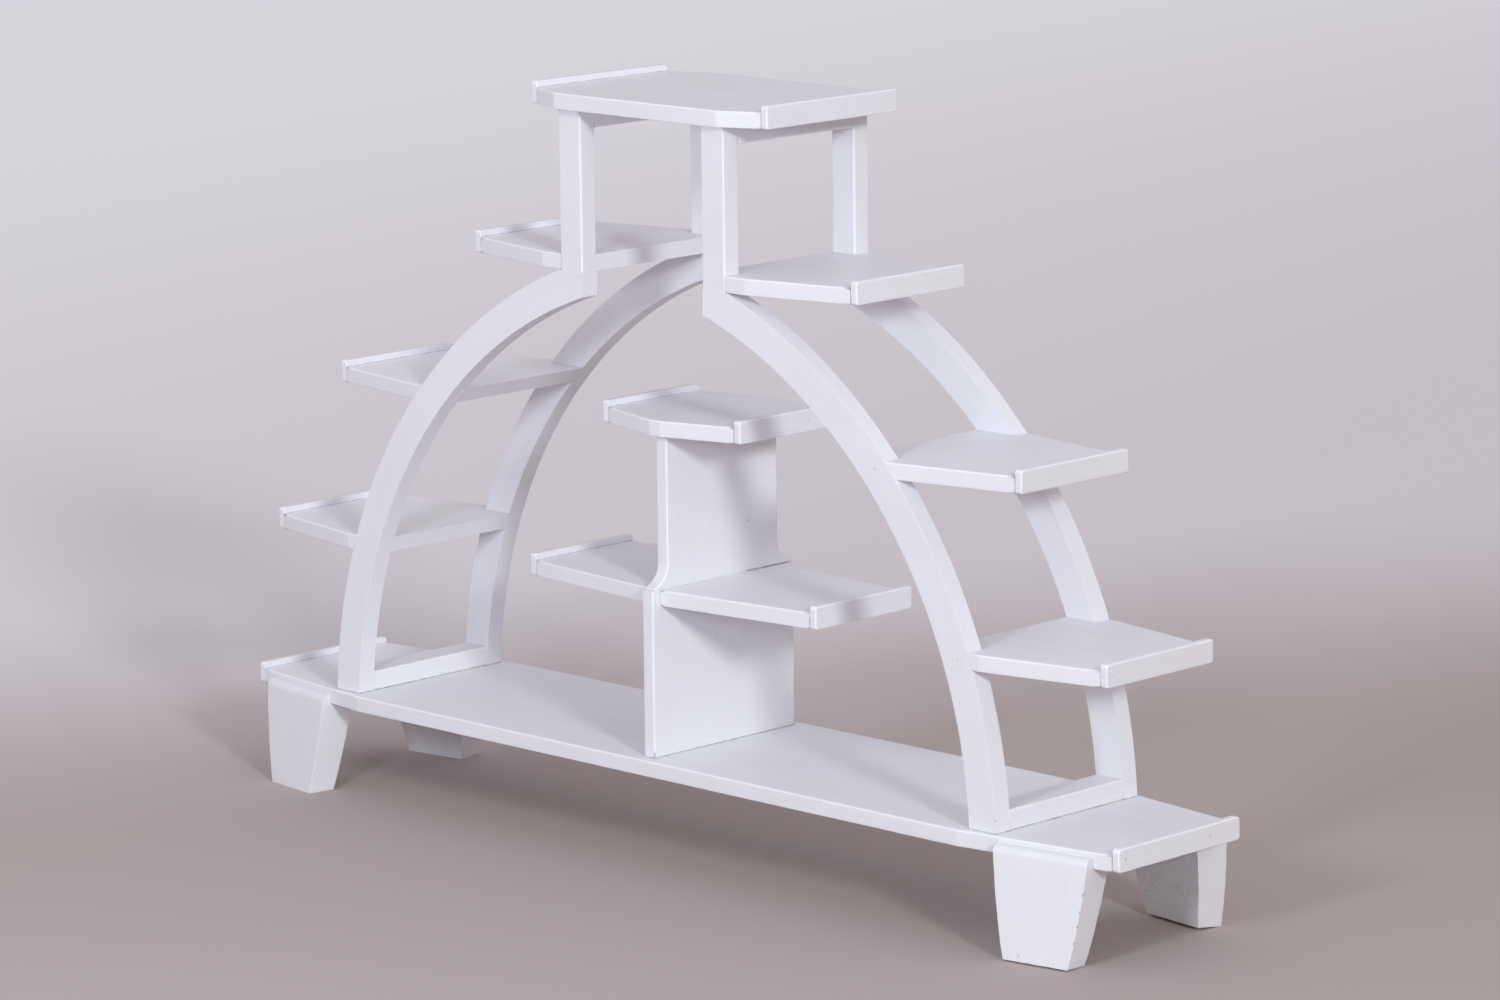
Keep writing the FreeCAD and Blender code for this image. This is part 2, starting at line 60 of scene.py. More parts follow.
# The least angles, in radians, between faces that meet at a squared and at a blunt arris
SQUARE = 0.6
BLUNT = 0.3
# The angle above which two faces are shaded as meeting at a sharp edge
CREASE = math.radians(42)

X_AXIS = Vector((1, 0, 0))
Y_AXIS = Vector((0, 1, 0))
Z_AXIS = Vector((0, 0, 1))

Colour = tuple[int, int, int]
Pair = tuple[float, float]
Triple = tuple[float, float, float]
Outline = tuple[Pair, ...]
Socket = bpy.types.NodeSocket
Material = bpy.types.Material
EdgeTest = Callable[[Vector, Vector], bool]
# The share of joint dirt and painted shade at a point
DirtShadeTest = Callable[[Vector], float]
SpotMap = Callable[[Vector], Vector]
Seat = tuple[int, float]


class Side(Enum):
    """The two ends of the stand, by the sign of x."""

    LEFT = -1
    RIGHT = 1


class Depth(Enum):
    """The front and the back of the stand, by the sign of y."""

    FRONT = -1
    BACK = 1


class Run(Enum):
    """The way the grain and the brush marks run on a piece."""

    ALONG = (0, 1, 2)
    ACROSS = (1, 0, 2)
    UPRIGHT = (2, 1, 0)


# Sizes and lines that several sub-assemblies share


@dataclass(frozen=True)
class Levels:
    """Board thickness and the top level of each tier."""

    board: float = 0.018
    foot: float = 0.104
    base: float = 0.122
    lower: float = 0.304
    middle: float = 0.486
    upper: float = 0.654
    top: float = 0.827

    @property
    def rib_head(self) -> float:
        """The underside of the upper shelves, on which the ribs end."""
        return self.upper - self.board

    @property
    def post_head(self) -> float:
        """The underside of the top shelf."""
        return self.top - self.board


@dataclass(frozen=True)
class Arch:
    """The circle that the ribs are sawn to, in the plane of the stand's front."""

    outer_radius: float = 0.578
    width: float = 0.037
    foot_reach: float = 0.4994
    head_reach: float = 0.1255
    foot_level: float = 0.122
    head_level: float = 0.636

    @property
    def inner_radius(self) -> float:
        """The radius of the ribs' inner faces."""
        return self.outer_radius - self.width

    @property
    def centre(self) -> Pair:
        """The circle's centre as (x, z), from the rib's foot and head.

        Returns:
            The x and z of the centre for a right-hand rib.
        """
        run, rise = self.head_reach - self.foot_reach, self.head_level - self.foot_level
        chord = math.hypot(run, rise)
        away = math.sqrt(self.outer_radius ** 2 - (chord / 2) ** 2) / chord
        middle_x = (self.foot_reach + self.head_reach) / 2
        middle_z = (self.foot_level + self.head_level) / 2
        return middle_x - rise * away, middle_z + run * away

    def reach(self, radius: float, level: float) -> float:
        """The x at which a circle about the centre crosses a level.

        Args:
            radius: The circle's radius.
            level: The height above the floor.

        Returns:
            The x of the crossing.
        """
        x, z = self.centre
        return x + math.sqrt(radius ** 2 - (level - z) ** 2)

    def height(self, radius: float, reach: float) -> float:
        """The level at which a circle about the centre crosses an x.

        Args:
            radius: The circle's radius.
            reach: The x of the crossing.

        Returns:
            The height above the floor.
        """
        x, z = self.centre
        return z + math.sqrt(radius ** 2 - (reach - x) ** 2)

    def unrolled(self, spot: Vector) -> Vector:
        """A point of a rib in a straightened frame: along the arc, across the stand, out from the arc.

        Args:
            spot: A point of the piece.

        Returns:
            Length along the arc, depth and distance from the arc's centre.
        """
        x, z = self.centre
        away = Vector((abs(spot.x) - x, spot.z - z))
        turn = math.atan2(away.y, away.x)
        side = math.copysign(1.0, spot.x)
        return Vector((side * turn * self.outer_radius, spot.y, away.length))


@dataclass(frozen=True)
class Frame:
    """Where the two side frames stand, and how the shelves are let into them."""

    face: float = 0.109
    thickness: float = 0.022
    housing: float = 0.006
    post_inner: float = 0.090
    post_outer: float = 0.123
    arch: Arch = Arch()

    @property
    def back(self) -> float:
        """The inner face of the front and back frames, by its y."""
        return self.face - self.thickness

    @property
    def tongue(self) -> float:
        """Half the depth of a shelf's tongue."""
        return self.back + self.housing


def clamp(value: float) -> float:
    """The value, kept between 0 and 1."""
    return min(max(value, 0.0), 1.0)


# Where the finer noises start, so that they don't follow the slow one
QUICK_SHIFT = Vector((7.3, 1.9, 4.1))
CHIP_SHIFT = Vector((3.1, 8.7, 0.4))


@dataclass(frozen=True)
class HandWork:
    """How far a sawn, planed and brushed face strays inwards from its true plane."""

    mean: float = 0.00016
    slow: float = 0.00020
    slow_wave: float = 0.12
    quick: float = 0.00006
    quick_wave: float = 0.022
    worn: float = 0.00014
    worn_share: float = 0.45
    chips: float = 0.0
    chip_wave: float = 0.009
    chip_start: float = 0.30
    chip_ramp: float = 0.12

    def depth(self, spot: Vector, worn: float) -> float:
        """The depth of the real surface below the true one.

        Args:
            spot: The point on the true surface.
            worn: 1 on an arris, 0 away from all arrises.

        Returns:
            A depth of zero or more.
        """
        slow = noise.noise(spot / self.slow_wave)
        quick = noise.noise(spot / self.quick_wave + QUICK_SHIFT)
        stray = self.slow * slow + self.quick * quick + self.chips * self.chipping(spot, worn)
        return max(0.0, self.mean + stray + self.worn * worn * (self.worn_share + quick))

    def chipping(self, spot: Vector, worn: float) -> float:
        """How far a point lies in a chip of the arris.

        Args:
            spot: The point on the true surface.
            worn: 1 on an arris, 0 away from all arrises.

        Returns:
            0 where the arris is whole, up to 1 in the middle of a chip.
        """
        if not self.chips:
            return 0.0
        patch = noise.noise(spot / self.chip_wave + CHIP_SHIFT)
        return worn * clamp((patch - self.chip_start) / self.chip_ramp)


@dataclass(frozen=True)
class BasePlan:
    """The base board seen from above, which the feet follow too."""

    length: float = 1.300
    depth: float = 0.240
    end_depth: float = 0.188
    taper: float = 0.186
    lip: float = 9 * MM

    @property
    def end(self) -> float:
        """The board's right end face, by x."""
        return self.length / 2 - self.lip

    @property
    def straight(self) -> float:
        """Where the board's right end starts to taper, by x."""
        return self.end - self.taper

    @property
    def inset(self) -> float:
        """How far the board's long edge comes in at each end."""
        return (self.depth - self.end_depth) / 2


@dataclass(frozen=True)
class Nick:
    """The size of a chip in an arris, or of a fleck in a flat."""

    width: float = 4 * MM
    depth: float = 0.8 * MM
    bare: float = 1.0
    cut_shares: tuple[float, ...] = (-0.5, -0.2, 0.2, 0.5)
    reach_share: float = 0.42


LEVELS = Levels()
FRAME = Frame()
PLAN = BasePlan()
BOARD_HAND = HandWork()


# Finishes


def srgb(red: int, green: int, blue: int) -> tuple[float, float, float, float]:
    """A colour as it is seen on a screen, made linear.

    Args:
        red: Red, 0 to 255.
        green: Green, 0 to 255.
        blue: Blue, 0 to 255.

    Returns:
        The linear colour with full opacity.
    """
    def linear(value: float) -> float:
        """One channel, made linear."""
        return value / 12.92 if value <= 0.04045 else ((value + 0.055) / 1.055) ** 2.4

    return (*(linear(value / 255) for value in (red, green, blue)), 1.0)


class NodeBench:
    """A material's node tree, with short calls for the nodes that the finishes use."""

    def __init__(self, name: str) -> None:
        """Start a material.

        Args:
            name: The material's name.
        """
        self.material = bpy.data.materials.new(name)
        self.material.use_nodes = True
        self.tree = self.material.node_tree
        self.shader = self.tree.nodes["Principled BSDF"]

    def add(self, kind: str, **settings: object) -> bpy.types.Node:
        """Add a node.

        Args:
            kind: The node's type.
            settings: Properties of the node.

        Returns:
            The node.
        """
        node = self.tree.nodes.new(kind)
        for key, value in settings.items():
            setattr(node, key, value)
        return node

    def feed(self, socket: Socket, value: object) -> None:
        """Link an output to a socket, or set the socket to a plain value.

        Args:
            socket: The input.
            value: An output socket or a value.
        """
        if isinstance(value, Socket):
            self.tree.links.new(value, socket)
        else:
            socket.default_value = value

    def set(self, name: str, value: object) -> None:
        """Feed one input of the shader."""
        self.feed(self.shader.inputs[name], value)

    def attribute(self, name: str) -> bpy.types.Node:
        """The piece's own attribute of that name."""
        return self.add("ShaderNodeAttribute", attribute_name=name)

    def place(self) -> Socket:
        """Object coordinates."""
        return self.add("ShaderNodeTexCoord").outputs["Object"]

    def stretched(self, vector: object, scale: Sequence[float]) -> Socket:
        """A vector with each axis multiplied by its own scale.

        Args:
            vector: The output to scale.
            scale: The three factors.

        Returns:
            The scaled vector.
        """
        node = self.add("ShaderNodeVectorMath", operation="MULTIPLY")
        self.feed(node.inputs[0], vector)
        self.feed(node.inputs[1], tuple(scale))
        return node.outputs[0]

    def noise(self, vector: object, scale: float, detail: float = 3, rough: float = 0.5) -> Socket:
        """A noise value.

        Args:
            vector: The coordinates.
            scale: Waves per metre.
            detail: The number of finer layers.
            rough: The share of the finer layers.

        Returns:
            A value near 0.5.
        """
        node = self.add("ShaderNodeTexNoise")
        self.feed(node.inputs["Vector"], vector)
        self.feed(node.inputs["Scale"], scale)
        self.feed(node.inputs["Detail"], detail)
        self.feed(node.inputs["Roughness"], rough)
        return node.outputs["Fac"]

    def span(self, value: object, old: Pair, new: Pair = (0, 1)) -> Socket:
        """Spread a value smoothly from one range to another.

        Args:
            value: The output to spread.
            old: The range that it comes from.
            new: The values at the two ends of that range.

        Returns:
            The new value.
        """
        node = self.add("ShaderNodeMapRange", interpolation_type="SMOOTHSTEP")
        for socket, setting in zip(node.inputs, (value, *old, *new)):
            self.feed(socket, setting)
        return node.outputs[0]

    def sum(self, kind: str, first: object, second: object) -> Socket:
        """Reckon with two values.

        Args:
            kind: The operation, as Blender names it.
            first: The first value.
            second: The second value.

        Returns:
            The result.
        """
        node = self.add("ShaderNodeMath", operation=kind)
        self.feed(node.inputs[0], first)
        self.feed(node.inputs[1], second)
        return node.outputs[0]

    def blend(self, factor: object, first: object, second: object) -> Socket:
        """Mix two colours.

        Args:
            factor: 0 for the first, 1 for the second.
            first: A colour.
            second: A colour.

        Returns:
            The mixed colour.
        """
        node = self.add("ShaderNodeMix", data_type="RGBA")
        self.feed(node.inputs[0], factor)
        self.feed(node.inputs[6], first)
        self.feed(node.inputs[7], second)
        return node.outputs[2]

    def bump(self, height: object, depth: float, under: object = None) -> Socket:
        """A bumped normal.

        Args:
            height: The height, 0 to 1.
            depth: The depth of the relief in metres.
            under: A normal that is bumped already.

        Returns:
            The normal.
        """
        node = self.add("ShaderNodeBump")
        self.feed(node.inputs["Height"], height)
        self.feed(node.inputs["Distance"], depth)
        if under is not None:
            self.feed(node.inputs["Normal"], under)
        return node.outputs[0]


@dataclass(frozen=True)
class BrushedPaint:
    """Old white enamel, laid on by brush, dulled in places and chipped at the arrises, with a painted
    highlight along the arrises and painted shade with the dirt in the joints.

    A name in waves counts them per metre, and one in range is the part of a noise, or of an
    attribute, over which the layer comes in.
    """

    name: str = "brushed_white_paint"
    fresh: Colour = (231, 231, 239)
    yellowed: Colour = (229, 228, 234)
    cloud_waves: float = 8
    cloud_range: Pair = (0.38, 0.68)
    streak: Colour = (212, 210, 214)
    stroke_waves: Triple = (9, 420, 420)
    streak_range: Pair = (0.3, 0.75)
    streak_share: float = 0.16
    # The worn colour is a painted highlight: a brighter white along the arrises, where the light catches
    # them
    worn: Colour = (243, 243, 248)
    highlight_edge: Pair = (0.8, 1)
    highlight_waves: float = 60
    highlight_range: Pair = (0.3, 0.6)
    highlight_shares: Pair = (0.25, 0.65)
    # The grime colour is dirt together with painted shade, darkening the joints where the pieces meet and
    # shade falls
    grime_and_shade: Colour = (150, 142, 138)
    joint_range: Pair = (0.3, 1)
    grime_shade_waves: float = 130
    grime_shade_range: Pair = (0.36, 0.66)
    grime_shade_shares: Pair = (0.3, 0.9)
    chip: Colour = (150, 134, 124)
    chip_waves: float = 88
    chip_range: Pair = (0.74, 0.76)
    chip_edge: Pair = (0.72, 0.95)
    knocked_range: Pair = (0.25, 0.8)
    chip_share: float = 0.75
    chip_depth: float = 0.0002
    speck: Colour = (120, 104, 94)
    speck_waves: float = 34
    speck_range: Pair = (0.014, 0.024)
    speck_rarity: float = 0.86
    speck_share: float = 0.6
    gloss_waves: Triple = (3, 60, 60)
    gloss_range: Pair = (0.3, 0.7)
    roughness: Pair = (0.36, 0.52)
    bending: float = 1.48
    brush_depth: float = 0.00005
    peel_waves: float = 520
    peel_depth: float = 0.00003

    def material(self) -> Material:
        """Build the paint.

        Returns:
            The material.
        """
        bench = NodeBench(self.name)
        place = bench.place()
        grain = bench.attribute("grain").outputs["Vector"]
        edge = bench.attribute("edge").outputs["Fac"]
        strokes = bench.noise(bench.stretched(grain, self.stroke_waves), 1, 4, 0.6)

        cloud = bench.span(bench.noise(place, self.cloud_waves), self.cloud_range)
        colour = bench.blend(cloud, srgb(*self.fresh), srgb(*self.yellowed))
        streaks = bench.span(strokes, self.streak_range, (0, self.streak_share))
        colour = bench.blend(streaks, colour, srgb(*self.streak))
        # Painted highlight: the arrises are brightened in patches with the worn colour
        patchy = bench.span(bench.noise(place, self.highlight_waves, 2), self.highlight_range, self.highlight_shares)
        bright = bench.sum("MULTIPLY", bench.span(edge, self.highlight_edge), patchy)
        colour = bench.blend(bright, colour, srgb(*self.worn))
        chips = self.chips(bench, place, edge)
        for share, under in (
            # Dirt and painted shade in the joints
            (self.soil_and_shade(bench, place), self.grime_and_shade),
            (bench.sum("MULTIPLY", chips, self.chip_share), self.chip),
            (self.specks(bench, place), self.speck),
        ):
            colour = bench.blend(share, colour, srgb(*under))
        bench.set("Base Color", colour)

        gloss = bench.noise(bench.stretched(grain, self.gloss_waves), 1)
        bench.set("Roughness", bench.span(gloss, self.gloss_range, self.roughness))
        bench.set("IOR", self.bending)
        relief = bench.bump(strokes, self.brush_depth)
        relief = bench.bump(bench.noise(place, self.peel_waves, 2), self.peel_depth, relief)
        relief = bench.bump(bench.sum("SUBTRACT", 1, chips), self.chip_depth, relief)
        bench.set("Normal", relief)
        return bench.material

    def soil_and_shade(self, bench: NodeBench, place: Socket) -> Socket:
        """The dirt in the joints, with painted shade where the pieces meet.

        Args:
            bench: The paint.
            place: The point.

        Returns:
            The share of dirt and painted shade.
        """
        joint = bench.span(bench.attribute("joint").outputs["Fac"], self.joint_range)
        patchy = bench.noise(place, self.grime_shade_waves, 4, 0.6)
        return bench.sum("MULTIPLY", joint, bench.span(patchy, self.grime_shade_range, self.grime_shade_shares))

    def chips(self, bench: NodeBench, place: Socket, edge: Socket) -> Socket:
        """The chips, random ones on the arrises and those that are cut in the mesh.

        Args:
            bench: The paint.
            place: The point.
            edge: 1 on an arris.

        Returns:
            1 in a chip, 0 outside.
        """
        chips = bench.span(bench.noise(place, self.chip_waves, 3, 0.6), self.chip_range)
        chips = bench.sum("MULTIPLY", chips, bench.span(edge, self.chip_edge))
        knocked = bench.span(bench.attribute("chip").outputs["Fac"], self.knocked_range)
        return bench.sum("MAXIMUM", chips, knocked)

    def specks(self, bench: NodeBench, place: Socket) -> Socket:
        """Rare small dark specks.

        Args:
            bench: The paint.
            place: The point.

        Returns:
            The share of the speck's colour.
        """
        dots = bench.add("ShaderNodeTexVoronoi")
        bench.feed(dots.inputs["Vector"], place)
        bench.feed(dots.inputs["Scale"], self.speck_waves)
        rare = bench.add("ShaderNodeSeparateColor")
        bench.feed(rare.inputs[0], dots.outputs["Color"])
        small = bench.span(dots.outputs["Distance"], self.speck_range, (1, 0))
        specks = bench.sum("MULTIPLY", small, bench.sum("GREATER_THAN", rare.outputs[0], self.speck_rarity))
        return bench.sum("MULTIPLY", specks, self.speck_share)


@dataclass(frozen=True)
class NailFilling:
    """Old putty over a sunk nail head, a little browner than the paint around it."""

    name: str = "old_putty"
    pale: Colour = (228, 227, 233)
    brown: Colour = (198, 180, 168)
    mottle_waves: float = 420
    mottle_range: Pair = (0.3, 0.75)
    mottle_shares: Pair = (0.5, 1)
    dull_waves: float = 300
    dull_range: Pair = (0.3, 0.7)
    roughness: Pair = (0.5, 0.7)
    pit_waves: float = 700
    pit_depth: float = 0.0001

    def material(self) -> Material:
        """Build the putty.

        Returns:
            The material.
        """
        bench = NodeBench(self.name)
        place = bench.place()
        mottle = bench.span(bench.noise(place, self.mottle_waves), self.mottle_range, self.mottle_shares)
        brown = bench.sum("MULTIPLY", bench.attribute("age").outputs["Fac"], mottle)
        bench.set("Base Color", bench.blend(brown, srgb(*self.pale), srgb(*self.brown)))
        dull = bench.noise(place, self.dull_waves)
        bench.set("Roughness", bench.span(dull, self.dull_range, self.roughness))
        bench.set("Normal", bench.bump(bench.noise(place, self.pit_waves), self.pit_depth))
        return bench.material


@dataclass(frozen=True)
class BareWood:
    """Unpainted beech."""

    name: str
    pale: Colour = (205, 178, 146)
    dark: Colour = (168, 134, 100)
    grain_waves: float = 240
    grain_range: Pair = (0.35, 0.65)
    fleck_waves: float = 720
    fleck_range: Pair = (0.6, 0.75)
    fleck_share: float = 0.4
    dull_range: Pair = (0.3, 0.7)
    roughness: Pair = (0.6, 0.75)
    pore_depth: float = 0.0001

    def material(self) -> Material:
        """Build the wood.

        Returns:
            The material.
        """
        bench = NodeBench(self.name)
        place = bench.place()
        grain = bench.noise(place, self.grain_waves, 4, 0.6)
        flecks = bench.noise(place, self.fleck_waves, 2)
        colour = bench.blend(bench.span(grain, self.grain_range), srgb(*self.pale), srgb(*self.dark))
        share = bench.span(flecks, self.fleck_range, (0, self.fleck_share))
        bench.set("Base Color", bench.blend(share, colour, srgb(*self.dark)))
        bench.set("Roughness", bench.span(grain, self.dull_range, self.roughness))
        bench.set("Normal", bench.bump(grain, self.pore_depth))
        return bench.material


@dataclass(frozen=True)
class DullSteel:
    """Steel nails and screws that have stood in a house for years."""

    name: str = "dull_steel"
    bright: Colour = (150, 148, 146)
    rust: Colour = (112, 84, 66)
    rust_waves: float = 320
    rust_range: Pair = (0.5, 0.68)
    metallic: Pair = (1, 0.2)
    roughness: Pair = (0.34, 0.8)
    pit_waves: float = 900
    pit_depth: float = 0.00004

    def material(self) -> Material:
        """Build the steel.

        Returns:
            The material.
        """
        bench = NodeBench(self.name)
        place = bench.place()
        rust = bench.span(bench.noise(place, self.rust_waves, 4), self.rust_range)
        bench.set("Base Color", bench.blend(rust, srgb(*self.bright), srgb(*self.rust)))
        bench.set("Metallic", bench.span(rust, (0, 1), self.metallic))
        bench.set("Roughness", bench.span(rust, (0, 1), self.roughness))
        bench.set("Normal", bench.bump(bench.noise(place, self.pit_waves, 2), self.pit_depth))
        return bench.material


def put(name: str, data: bpy.types.ID) -> bpy.types.Object:
    """Put a new object in the scene.

    Args:
        name: The object's name.
        data: Its mesh, lamp or camera.

    Returns:
        The object.
    """
    made = bpy.data.objects.new(name, data)
    bpy.context.scene.collection.objects.link(made)
    return made


def cast(name: str, bm: bmesh.types.BMesh) -> bpy.types.Object:
    """Make an object of a mesh in the making, which is used up.

    Args:
        name: The object's name.
        bm: The mesh.

    Returns:
        The object.
    """
    mesh = bpy.data.meshes.new(name)
    bm.to_mesh(mesh)
    bm.free()
    return put(name, mesh)


# Woodwork


class Workpiece:
    """A piece of wood in the making, drawn in the right front quarter of the stand."""

    def __init__(self) -> None:
        """Start with nothing on the bench."""
        self.bm = bmesh.new()
        self.flat = self.bm.faces.layers.int.new("flat")
        self.edge = self.bm.verts.layers.float.new("edge")
        self.chip = self.bm.verts.layers.float.new("chip")

    def arc(self, start: Vector, centre: Vector, axis: Vector, angle: float,
            steps: int) -> list[bmesh.types.BMVert]:
        """Swing a point round a centre.

        Args:
            start: The first point.
            centre: The centre of the arc.
            axis: The axis of the turn.
            angle: The angle of the turn.
            steps: The number of chords.

        Returns:
            The vertices from the first to the last.
        """
        known = set(self.bm.verts)
        first = self.bm.verts.new(start)
        bmesh.ops.spin(self.bm, geom=[first], cent=centre, axis=axis, angle=angle, steps=steps)
        return [vert for vert in self.bm.verts if vert not in known]

    def saw(self, outline: Sequence[Vector | bmesh.types.BMVert], offset: Vector) -> None:
        """Saw an outline out of a board.

        Args:
            outline: The corners in order, as points or as vertices that are there already.
            offset: The board's thickness and direction.
        """
        verts = [self.bm.verts.new(spot) if isinstance(spot, Vector) else spot for spot in outline]
        face = self.bm.faces.new(verts)
        grown = bmesh.ops.extrude_face_region(self.bm, geom=[face])
        moved = [item for item in grown["geom"] if isinstance(item, bmesh.types.BMVert)]
        bmesh.ops.translate(self.bm, vec=offset, verts=moved)
        self.face_outwards()
        for face in self.bm.faces:
            face[self.flat] = 1

    def face_outwards(self) -> None:
        """Turn all faces outwards."""
        bmesh.ops.recalc_face_normals(self.bm, faces=self.bm.faces[:])
        if self.bm.calc_volume(signed=True) < 0:
            bmesh.ops.reverse_faces(self.bm, faces=self.bm.faces[:])

    def ease(self, radius: float, wanted: EdgeTest, segments: int = 3, least: float = 0.05) -> None:
        """Round over some edges.

        Args:
            radius: The width of the rounding.
            wanted: True for the two ends of an edge to round.
            segments: The number of facets.
            least: The least angle between the faces of an edge.
        """
        self.bm.normal_update()
        sharp = [edge for edge in self.bm.edges if edge.is_manifold and edge.calc_face_angle() > least]
        edges = [edge for edge in sharp if wanted(edge.verts[0].co, edge.verts[1].co)]
        made = bmesh.ops.bevel(
            self.bm, geom=edges, offset=radius, offset_type="OFFSET", segments=segments, profile=0.5,
            affect="EDGES", clamp_overlap=True, material=-1,
        )
        for face in made["faces"]:
            face[self.flat] = 0

    def rim(self, width: float, crease: float = 0.3) -> None:
        """Draw a narrow border inside each flat, so that wear and the painted highlight keep to the
        arrises.

        Args:
            width: The border's width.
            crease: The least angle between two flats.
        """
        for vert in self.bm.verts:
            vert[self.edge] = 1.0
        self.bm.normal_update()
        for flats in self.flat_fields(crease):
            bmesh.ops.inset_region(
                self.bm, faces=flats, thickness=width, use_boundary=True, use_even_offset=False,
            )
            for face in flats:
                for vert in face.verts:
                    vert[self.edge] = 0.0

    def flat_fields(self, crease: float) -> list[list[bmesh.types.BMFace]]:
        """Sort the flats into fields that no sharp edge crosses.

        Args:
            crease: The least angle of a sharp edge.

        Returns:
            The faces of each field.
        """
        left = {face for face in self.bm.faces if face[self.flat]}
        fields = []
        for start in self.bm.faces[:]:
            if start not in left:
                continue
            left.discard(start)
            field_faces, front = [], [start]
            while front:
                face = front.pop()
                field_faces.append(face)
                for edge in face.edges:
                    near = [other for other in edge.link_faces if other in left]
                    if near and edge.calc_face_angle() < crease:
                        left.difference_update(near)
                        front += near
            fields.append(field_faces)
        return fields

    def slice(self, normal: Vector, low: float, high: float, step: float) -> None:
        """Cut the surface at regular places, so that it can follow the hand work.

        Args:
            normal: The axis along which the cuts follow each other.
            low: Where the piece starts.
            high: Where it ends.
            step: The distance between cuts, more or less.
        """
        count = max(1, round((high - low) / step))
        for index in range(1, count):
            place = low + (high - low) * index / count
            self.cut_at(normal * place, normal)

    def cut_at(self, spot: Vector, normal: Vector) -> None:
        """Cut the surface at one plane.

        Args:
            spot: A point of the plane.
            normal: The plane's normal.
        """
        geometry = self.bm.verts[:] + self.bm.edges[:] + self.bm.faces[:]
        bmesh.ops.bisect_plane(self.bm, geom=geometry, dist=SNAP, plane_co=spot, plane_no=normal)

    def place(self, side: Side, depth: Depth = Depth.FRONT) -> "Workpiece":
        """Mirror the piece to its own corner of the stand.

        Args:
            side: The end of the stand.
            depth: The front or the back.

        Returns:
            The piece itself.
        """
        flip = Vector((side.value, -depth.value, 1))
        bmesh.ops.scale(self.bm, vec=flip, verts=self.bm.verts[:])
        if flip.x * flip.y < 0:
            bmesh.ops.reverse_faces(self.bm, faces=self.bm.faces[:])
        return self

    def weather(self, hand: HandWork, seats: Sequence[Seat], lift: SpotMap | None = None) -> None:
        """Let the surface stray as hand work does, but not where it bears on another piece.

        Args:
            hand: The hand work.
            seats: Planes of contact, as an axis and a place on it.
            lift: A further change of place for each point, if any.
        """
        self.bm.normal_update()
        targets = []
        for vert in self.bm.verts:
            held = [axis for axis, level in seats if abs(vert.co[axis] - level) < ON_SEAT]
            if held and all(face[self.flat] for face in vert.link_faces):
                vert[self.edge] = 0.0
            target = vert.co - vert.normal * hand.depth(vert.co, vert[self.edge])
            for axis in held:
                target[axis] = vert.co[axis]
            targets.append(lift(target) if lift else target)
        for vert, target in zip(self.bm.verts, targets):
            vert.co = target

    def knock(self, spot: Vector, runs: Sequence[Vector], nick: Nick) -> None:
        """Knock a small chip out of an arris, or a fleck out of a flat.

        Args:
            spot: The middle of the chip.
            runs: The axes along which the surface is cut, one for an arris and two for a flat.
            nick: The size of the chip.
        """
        for run in runs:
            for share in nick.cut_shares:
                self.cut_at(spot + run * (nick.width * share), run)
        self.bm.normal_update()
        near = [vert for vert in self.bm.verts if (vert.co - spot).length < nick.width * nick.reach_share]
        hit = [(vert, vert.normal.copy()) for vert in near if len(runs) > 1 or vert[self.edge] > 0.5]
        for vert, normal in hit:
            vert[self.chip] = nick.bare
            vert.co -= normal * nick.depth

    def finish(self, name: str, node: str, paint: Material, run: Run | SpotMap,
               dirt_and_shade: DirtShadeTest, cutters: Iterable["Workpiece"] = ()) -> bpy.types.Object:
        """Make the piece an object of the stand.

        Args:
            name: The piece's name.
            node: The solid that it stands for.
            paint: Its finish.
            run: The way its grain runs.
            dirt_and_shade: How much dirt and painted shade gather at a point.
            cutters: What is cut out of it.

        Returns:
            The object.
        """
        bmesh.ops.remove_doubles(self.bm, verts=self.bm.verts[:], dist=MM / 1000)
        piece = cast(name, self.bm)
        for cutter in cutters:
            carve(piece, cutter)
        lay_grain(piece.data, run)
        gather_dirt_and_shade(piece.data, dirt_and_shade)
        settle(piece, paint)
        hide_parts(node)
        report(piece, node)
        return piece


def carve(piece: bpy.types.Object, cutter: Workpiece) -> None:
    """Cut a shape out of a piece.

    Args:
        piece: The piece.
        cutter: What is taken away, which is used up.
    """
    cutter.face_outwards()
    tool = cast("cutter", cutter.bm)
    cut = piece.modifiers.new("cut", "BOOLEAN")
    cut.object, cut.solver, cut.operation = tool, "MANIFOLD", "DIFFERENCE"
    graph = bpy.context.evaluated_depsgraph_get()
    result = bpy.data.meshes.new_from_object(piece.evaluated_get(graph))
    used = (piece.data, tool.data)
    piece.modifiers.clear()
    piece.data = result
    bpy.data.objects.remove(tool)
    for mesh in used:
        bpy.data.meshes.remove(mesh)
    result.name = piece.name


def lay_grain(mesh: bpy.types.Mesh, run: Run | SpotMap) -> None:
    """Give each point its place along, across and through the grain.

    Args:
        mesh: The piece's mesh.
        run: The way the grain runs.
    """
    spots: list[float] = []
    for vert in mesh.vertices:
        if isinstance(run, Run):
            spots.extend(vert.co[axis] for axis in run.value)
        else:
            spots.extend(run(vert.co))
    grain = mesh.attributes.new("grain", "FLOAT_VECTOR", "POINT")
    grain.data.foreach_set("vector", spots)


